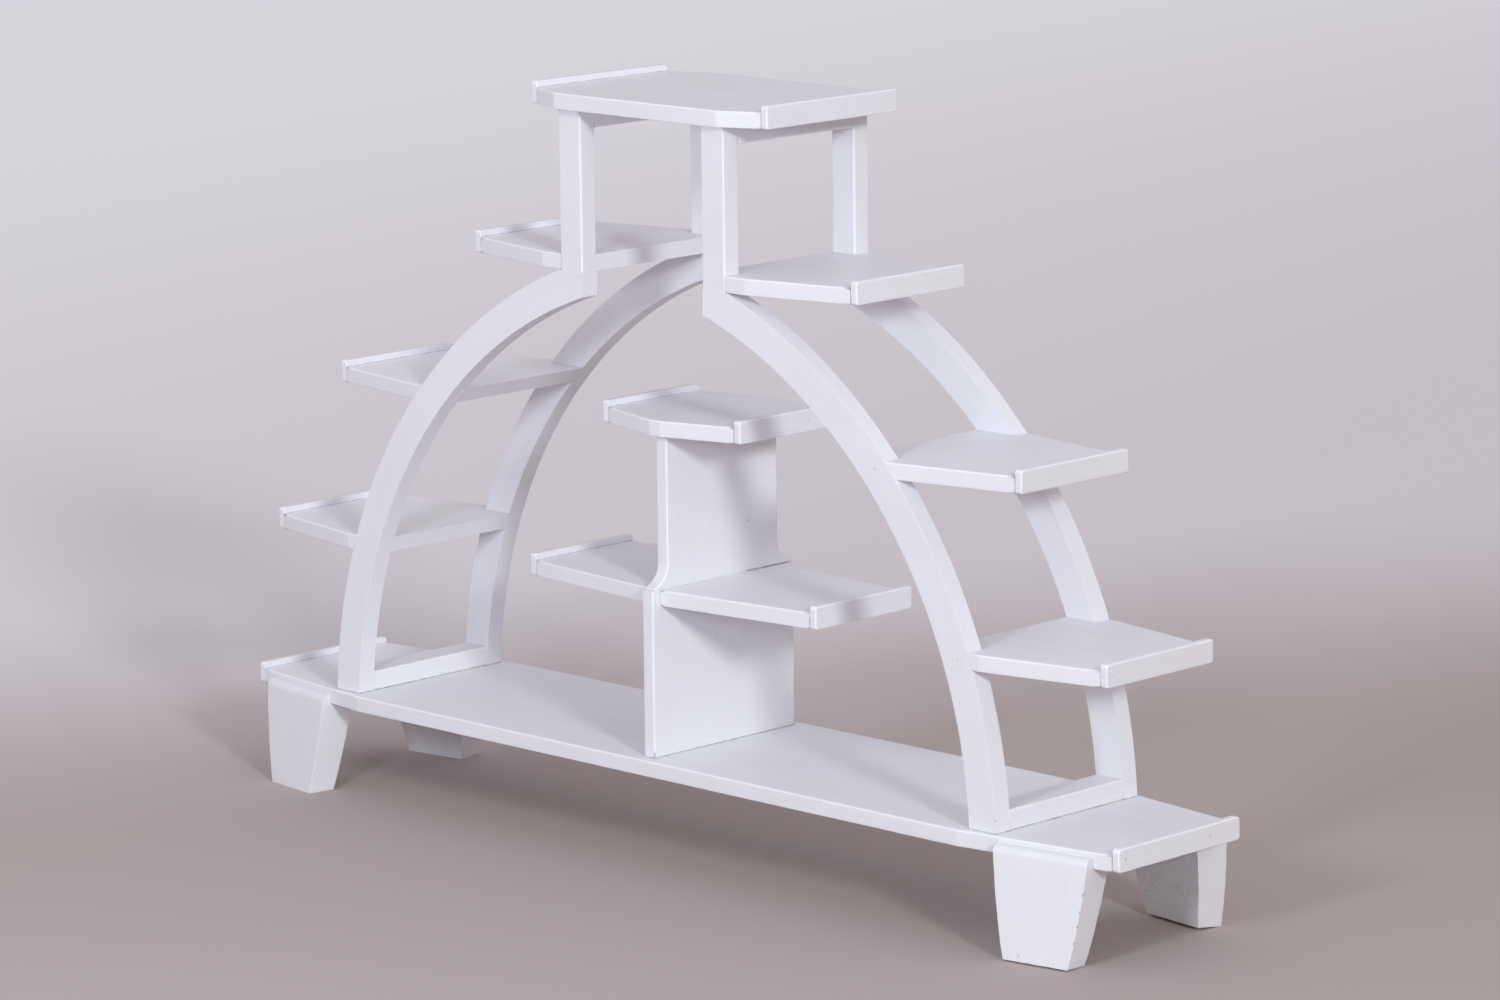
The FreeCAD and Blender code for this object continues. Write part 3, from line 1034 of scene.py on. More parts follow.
def gather_dirt_and_shade(mesh: bpy.types.Mesh, dirt_and_shade: DirtShadeTest) -> None:
    """Mark the points at a joint, where paint and dirt build up and shade is painted in.

    Args:
        mesh: The piece's mesh.
        dirt_and_shade: How much dirt and painted shade gather at a point, from 0 to 1.
    """
    marks = [float(dirt_and_shade(vert.co)) for vert in mesh.vertices]
    joint = mesh.attributes.new("joint", "FLOAT", "POINT")
    joint.data.foreach_set("value", marks)


def at_planes(planes: Sequence[Seat], near: float = 0.6 * MM) -> DirtShadeTest:
    """A test for points on some planes.

    Args:
        planes: Each plane as an axis and a place on it.
        near: How close to a plane counts.

    Returns:
        The test.
    """
    return lambda spot: any(abs(spot[axis] - level) < near for axis, level in planes)


def settle(piece: bpy.types.Object, finish: Material) -> None:
    """Give a piece its finish, and shade it smooth over its rounded arrises and sharp elsewhere.

    Args:
        piece: The piece.
        finish: Its paint or putty.
    """
    piece.data.materials.clear()
    piece.data.materials.append(finish)
    piece.data.shade_smooth()
    piece.data.set_sharp_from_angle(angle=CREASE)
    weighted = piece.modifiers.new("weighted", "WEIGHTED_NORMAL")
    weighted.keep_sharp = True
    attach(piece, "root")


def report(piece: bpy.types.Object, node: str) -> None:
    """Report a piece, and how far its box lies from that of its solid.

    Args:
        piece: The piece.
        node: The solid that it stands for.
    """
    low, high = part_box(node)
    own_low = [min(vert.co[axis] for vert in piece.data.vertices) for axis in range(3)]
    own_high = [max(vert.co[axis] for vert in piece.data.vertices) for axis in range(3)]
    gaps = [abs(own_low[axis] - low[axis]) for axis in range(3)]
    gaps += [abs(own_high[axis] - high[axis]) for axis in range(3)]
    LOG.info("%s: %d faces, %.2f mm from %s", piece.name, len(piece.data.polygons), max(gaps) / MM, node)


def is_level(a: Vector, b: Vector) -> bool:
    """True for two points at one height."""
    return abs(a.z - b.z) < MM / 100


def level_at(height: float) -> EdgeTest:
    """A test for level edges at one height."""
    return lambda a, b: is_level(a, b) and abs(a.z - height) < NEAR


def same_side(a: Vector, b: Vector) -> bool:
    """True for two points on one side of the stand's middle line."""
    return a.y * b.y > 0


def cut_corners(end: float, end_half: float, straight: float, half: float) -> Outline:
    """The front edge of a board that is narrower at its ends.

    Args:
        end: The right end, by x.
        end_half: Half the depth there.
        straight: Where the right end starts to taper.
        half: Half the depth in the middle.

    Returns:
        The corners from left to right.
    """
    return ((-end, -end_half), (-straight, -half), (straight, -half), (end, -end_half))


def box_piece(low: Sequence[float], high: Sequence[float]) -> Workpiece:
    """A squared block of wood.

    Args:
        low: Its lowest corner.
        high: Its highest corner.

    Returns:
        The block, with all six faces flat.
    """
    work = Workpiece()
    size = [upper - lower for lower, upper in zip(low, high)]
    middle = [(upper + lower) / 2 for lower, upper in zip(low, high)]
    matrix = Matrix.Translation(middle) @ Matrix.Diagonal((*size, 1))
    bmesh.ops.create_cube(work.bm, size=1, matrix=matrix)
    for face in work.bm.faces:
        face[work.flat] = 1
    return work


@dataclass(frozen=True)
class Slab:
    """A level board that tapers towards its ends, symmetric from front to back."""

    outline: Outline
    top: float
    arris: float = 1.6 * MM
    groove: float = 0.4 * MM
    rim: float = 2.2 * MM
    crease: float = 0.9
    slope: float = 1.5
    grid: float = 15 * MM

    def work(self) -> Workpiece:
        """Saw, round over and grid the board.

        Returns:
            The board, still true.
        """
        work = Workpiece()
        bottom = self.top - LEVELS.board
        back = [(x, -y) for x, y in reversed(self.outline)]
        corners = [Vector((x, y, bottom)) for x, y in [*self.outline, *back]]
        work.saw(corners, Z_AXIS * LEVELS.board)

        def long_edge(a: Vector, b: Vector) -> bool:
            """The upper and lower edges along the front and the back."""
            return is_level(a, b) and same_side(a, b) and abs(a.y - b.y) < abs(a.x - b.x) * self.slope

        def end_edge(a: Vector, b: Vector) -> bool:
            """The upper and lower edges across both ends."""
            return is_level(a, b) and abs(a.x - b.x) < NEAR and abs(a.x) in self.ends

        work.ease(self.arris, long_edge)
        work.ease(self.groove, end_edge, 1)
        work.rim(self.rim, self.crease)
        reach = max(abs(y) for _, y in self.outline)
        work.slice(X_AXIS, *self.ends, self.grid)
        work.slice(Y_AXIS, -reach, reach, self.grid)
        return work

    @property
    def ends(self) -> Pair:
        """The two end faces, by x."""
        xs = [x for x, _ in self.outline]
        return min(xs), max(xs)


@dataclass(frozen=True)
class EndLip:
    """The raised strip nailed across a board's end, with its corners rounded."""

    inner: float
    level: float
    length: float
    thickness: float = PLAN.lip
    rise: float = 7 * MM
    top_corner: float = 3.4 * MM
    low_corner: float = 3.0 * MM
    outer_round: float = 1.7 * MM
    inner_round: float = 0.7 * MM
    rim: float = 0.9 * MM
    grid: float = 12 * MM
    soil_and_shade: float = 0.8 * MM
    nail_drop: float = 4.5 * MM
    nail_shares: Pair = (-0.89, 0.5)

    @property
    def outer(self) -> float:
        """The strip's outer face."""
        return self.inner + self.thickness

    def work(self) -> Workpiece:
        """Shape the strip.

        Returns:
            The right-hand strip, still true.
        """
        half, low, high = self.length / 2, self.level - LEVELS.board, self.level + self.rise
        work = box_piece((self.inner, -half, low), (self.outer, half, high))

        def end_corner(a: Vector, b: Vector) -> bool:
            """The corners across the strip's ends, above and below."""
            return is_level(a, b) and abs(a.y - b.y) < NEAR

        def outer_edge(a: Vector, b: Vector) -> bool:
            """The whole way round the outer face."""
            return min(a.x, b.x) > self.outer - NEAR

        def inner_edge(a: Vector, b: Vector) -> bool:
            """The whole way round the face against the board."""
            return max(a.x, b.x) < self.inner + NEAR

        work.ease(self.top_corner, lambda a, b: end_corner(a, b) and a.z > self.level, 4)
        work.ease(self.low_corner, lambda a, b: end_corner(a, b) and a.z < self.level, 3)
        work.ease(self.outer_round, outer_edge, 4, SQUARE)
        work.ease(self.inner_round, inner_edge, 2, SQUARE)
        work.rim(self.rim)
        work.slice(Y_AXIS, -half, half, self.grid)
        for level in (self.level - LEVELS.board / 2, self.level, self.level + self.soil_and_shade):
            work.cut_at(Z_AXIS * level, Z_AXIS)
        return work

    def nails(self, side: Side) -> list[Vector]:
        """Where the two nails went in.

        Args:
            side: The end of the stand.

        Returns:
            The places on the strip's outer face.
        """
        height, half = self.level - self.nail_drop, self.length / 2
        return [Vector((side.value * self.outer, half * share, height)) for share in self.nail_shares]

    def dirt_and_shade(self, spot: Vector) -> bool:
        """True at the joint with the board."""
        return abs(spot.x) < self.inner + self.inner_round and spot.z < self.level + self.soil_and_shade / 4


@dataclass(frozen=True)
class PuttiedNail:
    """The putty over one sunk nail head."""

    place: Vector
    outward: Vector
    age: float
    radius: float = 3.2 * MM
    crest_share: float = 0.5
    thickness: float = 0.6 * MM
    segments: int = 16
    uneven: float = 0.22
    sunk: float = MM / 50

    def press_in(self, bm: bmesh.types.BMesh, layer: bmesh.types.BMLayerItem) -> None:
        """Press the putty in, a little proud of the hand-worked face around it.

        Args:
            bm: The mesh that takes it.
            layer: Where its age is written.
        """
        middle = self.place - self.outward * (self.thickness / 2 + self.sunk)
        turn = self.outward.to_track_quat("Z", "Y").to_matrix().to_4x4()
        made = bmesh.ops.create_cone(
            bm, cap_ends=True, segments=self.segments, radius1=self.radius,
            radius2=self.radius * self.crest_share, depth=self.thickness,
            matrix=Matrix.Translation(middle) @ turn,
        )
        for vert in made["verts"]:
            vert[layer] = self.age
            away = vert.co - middle
            radial = away - self.outward * away.dot(self.outward)
            vert.co += radial * (self.uneven * noise.noise(vert.co / (2 * self.radius)))


@dataclass
class StandPart:
    """What all sub-assemblies share: the paint, the putty and the list of pieces made."""

    paint: Material
    putty: Material
    pieces: list[bpy.types.Object] = field(default_factory=list)
    nails: list[PuttiedNail] = field(default_factory=list)
    putty_age: float = 0.15
    putty_stray: float = 0.5
    putty_wave: float = 0.05

    def dress(self, work: Workpiece, name: str, node: str, run: Run | SpotMap, seats: Sequence[Seat],
              dirt_and_shade: DirtShadeTest | None = None, cutters: Iterable[Workpiece] = (),
              hand: HandWork = BOARD_HAND, lift: SpotMap | None = None) -> None:
        """Weather a true piece, finish it and add it to the list.

        Args:
            work: The piece, in its place.
            name: Its name.
            node: The solid that it stands for.
            run: The way its grain runs.
            seats: Planes of contact, as an axis and a place on it.
            dirt_and_shade: How much dirt and painted shade gather at a point, or none for dirt and painted
                shade at all seats.
            cutters: What is cut out of it.
            hand: The hand work.
            lift: A further change of place for each point, if any.
        """
        work.weather(hand, seats, lift)
        piece = work.finish(name, node, self.paint, run, dirt_and_shade or at_planes(seats), cutters)
        self.pieces.append(piece)

    def fit_lips(self, name: str, lip: EndLip) -> None:
        """Nail a lip to each end of a board, or to a pair of boards.

        Args:
            name: The lips' name.
            lip: The right-hand lip.
        """
        for side in Side:
            node = f"{name}_{side.name.lower()}"
            seats = [(0, side.value * lip.inner)]
            self.dress(lip.work().place(side), f"{node}_strip", node, Run.ACROSS, seats, lip.dirt_and_shade)
            self.nails += [self.puttied(spot, X_AXIS * side.value) for spot in lip.nails(side)]

    def puttied(self, spot: Vector, outward: Vector) -> PuttiedNail:
        """A filled nail head that has aged in its own way.

        Args:
            spot: Its place on the face.
            outward: The face's normal.

        Returns:
            The filling.
        """
        age = self.putty_age + self.putty_stray * noise.noise(spot / self.putty_wave)
        return PuttiedNail(spot, outward, clamp(age))

    def fill_nails(self, name: str) -> None:
        """Make one piece of all the putty in this sub-assembly.

        Args:
            name: The piece's name.
        """
        bm = bmesh.new()
        layer = bm.verts.layers.float.new("age")
        for nail in self.nails:
            nail.press_in(bm, layer)
        bmesh.ops.recalc_face_normals(bm, faces=bm.faces[:])
        piece = cast(name, bm)
        settle(piece, self.putty)
        self.pieces.append(piece)


@dataclass
class Base(StandPart):
    """The long base board with its end lips."""

    grid: float = 17 * MM
    top_corner: float = 4.6 * MM
    low_corner: float = 4.2 * MM
    screw_head: float = 4.5 * MM
    screw_sink: float = 0.8 * MM
    screw_segments: int = 20
    rib_screw_share: float = 0.27
    rail_screw_spacing: float = 0.080
    panel_screw_spacing: float = 0.075
    putty_age: float = 0.65
    flecks: Outline = ((-0.2202, 0.1177), (-0.0172, 0.1188), (0.262, 0.1180))
    fleck: Nick = Nick(3.4 * MM, 0.2 * MM, 0.5)

    def build(self) -> None:
        """Make the board and its lips."""
        half = PLAN.depth / 2
        outline = cut_corners(PLAN.end, PLAN.end_depth / 2, PLAN.straight, half)
        work = Slab(outline, LEVELS.base, grid=self.grid).work()
        for x, z in self.flecks:
            work.knock(Vector((x, -half, z)), [X_AXIS, Z_AXIS], self.fleck)
        seats = [(0, -PLAN.end), (0, PLAN.end)]
        self.dress(work, "base_board_wood", "base_board", Run.ALONG, seats, cutters=[self.screw_holes()])
        corners = {"top_corner": self.top_corner, "low_corner": self.low_corner}
        self.fit_lips("base_lip", EndLip(PLAN.end, LEVELS.base, PLAN.end_depth, **corners))
        self.fill_nails("base_nail_putty")

    def screw_spots(self) -> list[Pair]:
        """Where the screws come up through the board.

        Returns:
            The x and y of each screw.
        """
        arch = FRAME.arch
        inner = arch.reach(arch.inner_radius, LEVELS.base)
        middle = (inner + arch.foot_reach) / 2
        rib_x = inner + arch.width * self.rib_screw_share
        rib_y = FRAME.face - FRAME.thickness / 2
        spots = [(rib_x, -rib_y), (rib_x, rib_y)]
        spots += [(middle, -self.rail_screw_spacing / 2), (middle, self.rail_screw_spacing / 2)]
        panel = [(0.0, step * self.panel_screw_spacing) for step in (-1, 0, 1)]
        return spots + [(-x, y) for x, y in spots] + panel

    def screw_holes(self) -> Workpiece:
        """The sinkings for the screw heads under the board, as one cutter.

        Returns:
            The cutter.
        """
        cutter = Workpiece()
        low, high = LEVELS.foot - self.screw_sink, LEVELS.foot + self.screw_sink
        for x, y in self.screw_spots():
            matrix = Matrix.Translation((x, y, (low + high) / 2))
            bmesh.ops.create_cone(
                cutter.bm, cap_ends=True, segments=self.screw_segments, radius1=self.screw_head,
                radius2=self.screw_head, depth=high - low, matrix=matrix,
            )
        return cutter


@dataclass
class Feet(StandPart):
    """Four splayed feet, let in under the base board's tapered edges."""

    top_width: float = 0.114
    floor_width: float = 0.078
    floor_thickness: float = 0.033
    seat: float = 0.030
    splay: float = 0.0096
    from_lip: float = 0.022
    bulge: float = 2.5 * MM
    arris: float = 2.6 * MM
    cheek: float = 0.011
    lap: float = 0.012
    cheek_round: float = 7.5 * MM
    sole_round: float = 3.0 * MM
    core: float = 0.033
    rim: float = 2.4 * MM
    grid: float = 6 * MM
    crown_wear_and_highlight: float = 0.4
    # Dirt and painted shade on the rear right foot's inner face, which stands in the shade of the base
    # board
    inner_grime_and_shade: float = 0.5
    front_gap: float = 1.5 * MM
    back_gap: float = 3.2 * MM
    worn_height: float = 0.014
    mark: Vector = field(default_factory=lambda: Vector((0.0888, 0.0201, 0.0070)))
    arris_nicks: tuple[float, ...] = (0.030, 0.047, 0.062, 0.080)
    arris_nick: Nick = Nick(4 * MM, 0.8 * MM, 0.8)
    inner_flecks: Outline = (
        (0.0883, 0.0350), (0.1302, 0.0361), (0.0987, 0.0076), (0.0747, 0.0289), (0.1225, 0.0443),
    )
    inner_fleck: Nick = Nick(3 * MM, 0.2 * MM, 0.8)
    mark_age: float = 0.5
    hand: HandWork = HandWork(
        mean=0.00022, slow=0.0003, slow_wave=0.05, quick=0.0001, quick_wave=0.016, worn=0.0003,
        chips=0.0002, chip_wave=0.007,
    )

    @property
    def height(self) -> float:
        """The top of the cheek."""
        return LEVELS.foot + self.lap

    @property
    def edge_length(self) -> float:
        """The length of the base board's tapered edge."""
        return math.hypot(PLAN.taper, PLAN.inset)

    @property
    def middle(self) -> float:
        """The middle of a foot, by its place along the tapered edge."""
        return self.edge_length - self.from_lip - self.top_width / 2

    def to_base(self, spot: Vector) -> Vector:
        """From the foot's own frame to the stand's.

        Args:
            spot: Along the tapered edge, outwards from it, and up.

        Returns:
            The place in the stand's right front quarter.
        """
        x = PLAN.straight + (spot.x * PLAN.taper + spot.y * PLAN.inset) / self.edge_length
        y = -PLAN.depth / 2 + (spot.x * PLAN.inset - spot.y * PLAN.taper) / self.edge_length
        return Vector((x, y, spot.z))

    def half_width(self, level: float) -> float:
        """Half the foot's width at a level, on the arc of its bulging flanks.

        Args:
            level: The height above the floor.

        Returns:
            Half the width.
        """
        low, high = self.floor_width / 2, self.top_width / 2
        share = level / self.height
        return low + (high - low) * share + self.bulge * 4 * share * (1 - share)

    def grain(self, spot: Vector) -> Vector:
        """The grain stands upright in a foot."""
        return Vector((spot.z, spot.x, spot.y))

    def blank(self) -> Workpiece:
        """Shape the right front foot.

        Returns:
            The foot, still true.
        """
        work = Workpiece()
        floor_out = self.cheek + self.splay
        profile = [
            (floor_out - self.floor_thickness, 0.0), (floor_out, 0.0), (self.cheek, self.height),
            (0.0, self.height), (0.0, LEVELS.foot), (-self.seat, LEVELS.foot),
        ]
        work.saw([Vector((-1, out, level)) for out, level in profile], X_AXIS * 2)
        work.slice(Z_AXIS, 0, LEVELS.foot, self.grid)
        for vert in work.bm.verts:
            vert.co.x = self.middle + vert.co.x * self.half_width(vert.co.z)

        def flank(a: Vector, b: Vector) -> bool:
            """The four upright corners."""
            return not is_level(a, b) and min(a.z, b.z) < LEVELS.foot - MM

        def crown(a: Vector, b: Vector) -> bool:
            """The outer edge on top of the cheek."""
            return min(a.z, b.z) > self.height - NEAR and min(a.y, b.y) > self.cheek - NEAR

        def sole(a: Vector, b: Vector) -> bool:
            """The edges on the floor."""
            return max(a.z, b.z) < NEAR

        work.ease(self.cheek_round, crown, 5)
        work.ease(self.arris, flank, 3, SQUARE)
        work.ease(self.sole_round, sole, 3, SQUARE)
        work.rim(self.rim)
        # Less wear and less painted highlight on the cheek's rounded crown
        for vert in work.bm.verts:
            if vert.co.z > self.height - self.cheek_round:
                vert[work.edge] *= self.crown_wear_and_highlight
        work.slice(X_AXIS, self.middle - self.core, self.middle + self.core, self.grid)
        return work

    def flaw(self, work: Workpiece, side: Side, depth: Depth) -> None:
        """Chip and wear the two feet that show it most.

        Args:
            work: The foot, still in its own frame.
            side: The end of the stand.
            depth: The front or the back.
        """
        if (side, depth) == (Side.RIGHT, Depth.FRONT):
            for level in self.arris_nicks:
                out = self.cheek + self.splay * (1 - level / self.height)
                spot = Vector((self.middle + self.half_width(level) - MM, out - MM, level))
                work.knock(spot, [Z_AXIS], self.arris_nick)
            self.wear_sole(work, 1, self.front_gap)
        if (side, depth) == (Side.RIGHT, Depth.BACK):
            for along, level in self.inner_flecks:
                spot = Vector((along, self.inner(level), level))
                work.knock(spot, [X_AXIS, Z_AXIS], self.inner_fleck)
            self.wear_sole(work, -1, self.back_gap)

    def wear_sole(self, work: Workpiece, way: int, gap: float) -> None:
        """Wear the sole away towards one of its long edges.

        Args:
            work: The foot, still in its own frame.
            way: 1 for the outer edge and -1 for the inner one.
            gap: How far that edge clears the floor.
        """
        half = self.floor_thickness / 2
        middle = self.cheek + self.splay - half
        for vert in work.bm.verts:
            share = clamp(way * (vert.co.y - middle) / half)
            low = max(0.0, 1 - vert.co.z / self.worn_height)
            vert.co.z += gap * share * low

    def inner(self, level: float) -> float:
        """The inner face, as a distance out from the board's edge.

        Args:
            level: The height above the floor.

        Returns:
            The distance, below zero inside the board's edge.
        """
        low = self.cheek + self.splay - self.floor_thickness
        return low - (low + self.seat) * level / LEVELS.foot

    def build(self) -> None:
        """Make the four feet."""
        for side in Side:
            for depth in Depth:
                work = self.blank()
                self.flaw(work, side, depth)
                for vert in work.bm.verts:
                    vert.co = self.to_base(vert.co)
                work.face_outwards()
                work.place(side, depth)
                seats = [(2, 0.0), (2, LEVELS.foot)]
                node = f"foot_{depth.name.lower()}_{side.name.lower()}"
                self.dress(work, f"{node}_block", node, self.grain, seats, self.dirt_and_shade, hand=self.hand)
        outward = self.to_base(Y_AXIS) - self.to_base(Vector())
        self.nails.append(PuttiedNail(self.to_base(self.mark), outward, self.mark_age))
        self.fill_nails("foot_nail_putty")

    def dirt_and_shade(self, spot: Vector) -> float:
        """Dirt and painted shade on the inner face of the rear right foot, under the base board.

        Args:
            spot: A point of a foot.

        Returns:
            The share of dirt and painted shade.
        """
        x, y = spot.x - PLAN.straight, PLAN.depth / 2 - spot.y
        out = (x * PLAN.inset - y * PLAN.taper) / self.edge_length
        inside = -self.seat - MM < out < self.inner(spot.z) + 2 * MM
        return self.inner_grime_and_shade if x > 0 and inside else 0.0


@dataclass
class SideFrames(StandPart):
    """The two arched frames: ribs, posts and rails."""

    arris: float = 1.6 * MM
    groove: float = 0.4 * MM
    rim: float = 2.4 * MM
    arc_steps: int = 56
    grid: float = 11 * MM
    rail_width: float = 0.036
    rail_height: float = 0.022
    head_rail_height: float = 0.020
    rail_gap: float = 4 * MM
    first_cut_share: float = 0.4
    nail_share: float = 0.58
    nick_level: float = 0.136
    rib_nick: Nick = Nick(3 * MM)

    def rib_blank(self) -> Workpiece:
        """Saw and round over the right front rib.

        Returns:
            The rib, still true.
        """
        work, arch, front = Workpiece(), FRAME.arch, -FRAME.face
        x, z = arch.centre
        centre = Vector((x, front, z))

        def turn_from(reach: float, level: float) -> float:
            """The angle of a point about the arch's centre."""
            return math.atan2(level - z, reach - x)

        foot_in = arch.reach(arch.inner_radius, arch.foot_level)
        knee = arch.height(arch.inner_radius, FRAME.post_inner)
        rise = turn_from(arch.head_reach, arch.head_level) - turn_from(arch.foot_reach, arch.foot_level)
        fall = turn_from(FRAME.post_inner, knee) - turn_from(foot_in, arch.foot_level)
        outer_foot = Vector((arch.foot_reach, front, arch.foot_level))
        outer = work.arc(outer_foot, centre, -Y_AXIS, rise, self.arc_steps)
        head = [work.bm.verts.new((FRAME.post_inner, front, arch.head_level))]
        inner_foot = Vector((foot_in, front, arch.foot_level))
        inner = work.arc(inner_foot, centre, -Y_AXIS, fall, self.arc_steps)
        work.saw(outer + head + inner[::-1], Y_AXIS * FRAME.thickness)
        rail_top = LEVELS.base + self.rail_height

        def long_arris(a: Vector, b: Vector) -> bool:
            """The edges along the arc, but not where a rail meets them."""
            behind_rail = max(a.z, b.z) < rail_top + self.rail_gap and a.y > front + MM
            at_seat = level_at(arch.foot_level)(a, b) or level_at(arch.head_level)(a, b)
            return abs(a.y - b.y) < NEAR and not at_seat and not behind_rail

        work.ease(self.arris, long_arris, 3, SQUARE)
        work.ease(self.arris, level_at(knee), 2, BLUNT)
        work.ease(self.groove, level_at(arch.foot_level), 1)
        work.rim(self.rim)
        low = turn_from(arch.foot_reach, arch.foot_level)
        count = round(rise * arch.outer_radius / self.grid)
        for index in range(count):
            turn = low + rise * (index + self.first_cut_share) / count
            work.cut_at(centre, Vector((-math.sin(turn), 0, math.cos(turn))))
        return work

    def housing(self, top: float, side: Side, depth: Depth) -> Workpiece:
        """The room for a shelf's tongue in one rib or post.

        Args:
            top: The shelf's top level.
            side: The end of the stand.
            depth: The front or the back frame.

        Returns:
            The cutter.
        """
        reach = FRAME.arch.foot_reach + LEVELS.board
        low = (0, -FRAME.tongue, top - LEVELS.board)
        cutter = box_piece(low, (reach, -FRAME.back + FRAME.housing, top))
        return cutter.place(side, depth)

    def build(self) -> None:
        """Make the ribs, posts and rails of both ends."""
        for side in Side:
            for depth in Depth:
                self.build_rib(side, depth)
                self.build_post(side, depth)
            self.build_rails(side)
        self.drive_nails()
        self.fill_nails("frame_nail_putty")

    def drive_nails(self) -> None:
        """Find the nails that hold the shelves' tongues in the ribs and posts."""
        arch = FRAME.arch
        for top in (LEVELS.lower, LEVELS.middle, LEVELS.upper):
            height = top - LEVELS.board / 2
            inner, outer = FRAME.post_inner, FRAME.post_outer
            if height < LEVELS.rib_head:
                inner, outer = arch.reach(arch.inner_radius, height), arch.reach(arch.outer_radius, height)
            reach = inner + (outer - inner) * self.nail_share
            for side in Side:
                for depth in Depth:
                    spot = Vector((side.value * reach, depth.value * FRAME.face, height))
                    self.nails.append(self.puttied(spot, Y_AXIS * depth.value))

    def build_rib(self, side: Side, depth: Depth) -> None:
        """Make one rib.

        Args:
            side: The end of the stand.
            depth: The front or the back frame.
        """
        work = self.rib_blank().place(side, depth)
        if (side, depth) == (Side.RIGHT, Depth.FRONT):
            reach = FRAME.arch.reach(FRAME.arch.outer_radius, self.nick_level)
            knocked = Vector((reach - MM / 2, MM / 2 - FRAME.face, self.nick_level))
            work.knock(knocked, [Z_AXIS], self.rib_nick)
        seats = [(2, LEVELS.base), (2, LEVELS.rib_head)]
        cutters = [self.housing(level, side, depth) for level in (LEVELS.lower, LEVELS.middle)]
        node = f"rib_{depth.name.lower()}_{side.name.lower()}"
        self.dress(work, f"{node}_wood", node, FRAME.arch.unrolled, seats, at_planes(seats[:1]), cutters)

    def build_post(self, side: Side, depth: Depth) -> None:
        """Make one post.

        Args:
            side: The end of the stand.
            depth: The front or the back frame.
        """
        low = (FRAME.post_inner, -FRAME.face, LEVELS.rib_head)
        work = box_piece(low, (FRAME.post_outer, -FRAME.back, LEVELS.post_head))
        rail_low = LEVELS.post_head - self.head_rail_height
        work.cut_at(Z_AXIS * rail_low, Z_AXIS)

        def upright(a: Vector, b: Vector) -> bool:
            """The long edges, but not where the rail meets them."""
            behind_rail = max(a.z, b.z) > rail_low + MM and a.y > MM - FRAME.face
            return not is_level(a, b) and not behind_rail

        work.ease(self.arris, upright)
        work.rim(self.rim)
        work.slice(Z_AXIS, LEVELS.rib_head, LEVELS.post_head, self.grid)
        work.cut_at(X_AXIS * (FRAME.post_inner + FRAME.post_outer) / 2, X_AXIS)
        work.place(side, depth)
        seats = [(2, LEVELS.rib_head), (2, LEVELS.post_head)]
        node = f"post_{depth.name.lower()}_{side.name.lower()}"
        cutters = [self.housing(LEVELS.upper, side, depth)]
        self.dress(work, f"{node}_wood", node, Run.UPRIGHT, seats, at_planes(seats[1:]), cutters)

    def build_rails(self, side: Side) -> None:
        """Make the rails at the foot and the head of one frame.

        Args:
            side: The end of the stand.
        """
        arch, half = FRAME.arch, self.rail_width / 2
        middle = (arch.reach(arch.inner_radius, LEVELS.base) + arch.foot_reach) / 2
        foot, head = LEVELS.base, LEVELS.post_head
        self.build_rail("bottom_rail", side, (middle - half, middle + half), foot, foot + self.rail_height)
        posts = (FRAME.post_inner, FRAME.post_outer)
        self.build_rail("top_rail", side, posts, head, head - self.head_rail_height)

    def build_rail(self, name: str, side: Side, xs: Pair, seat: float, free: float) -> None:
        """Make one rail.

        Args:
            name: The rail's name.
            side: The end of the stand.
            xs: Its two long faces, by x.
            seat: The level on which it bears.
            free: The level of its free face.
        """

        def long_edges(level: float) -> EdgeTest:
            """A test for the rail's long edges at one height."""
            return lambda a, b: level_at(level)(a, b) and not same_side(a, b)

        work = box_piece((xs[0], -FRAME.back, min(seat, free)), (xs[1], FRAME.back, max(seat, free)))
        work.ease(self.arris, long_edges(free))
        work.ease(self.groove, long_edges(seat), 1)
        work.rim(self.rim)
        work.slice(Y_AXIS, -FRAME.back, FRAME.back, self.grid)
        work.cut_at(X_AXIS * sum(xs) / 2, X_AXIS)
        work.place(side)
        seats = [(2, seat), (1, FRAME.back), (1, -FRAME.back)]
        node = f"{name}_{side.name.lower()}"
        self.dress(work, f"{node}_wood", node, Run.ACROSS, seats, at_planes(seats[:1]))


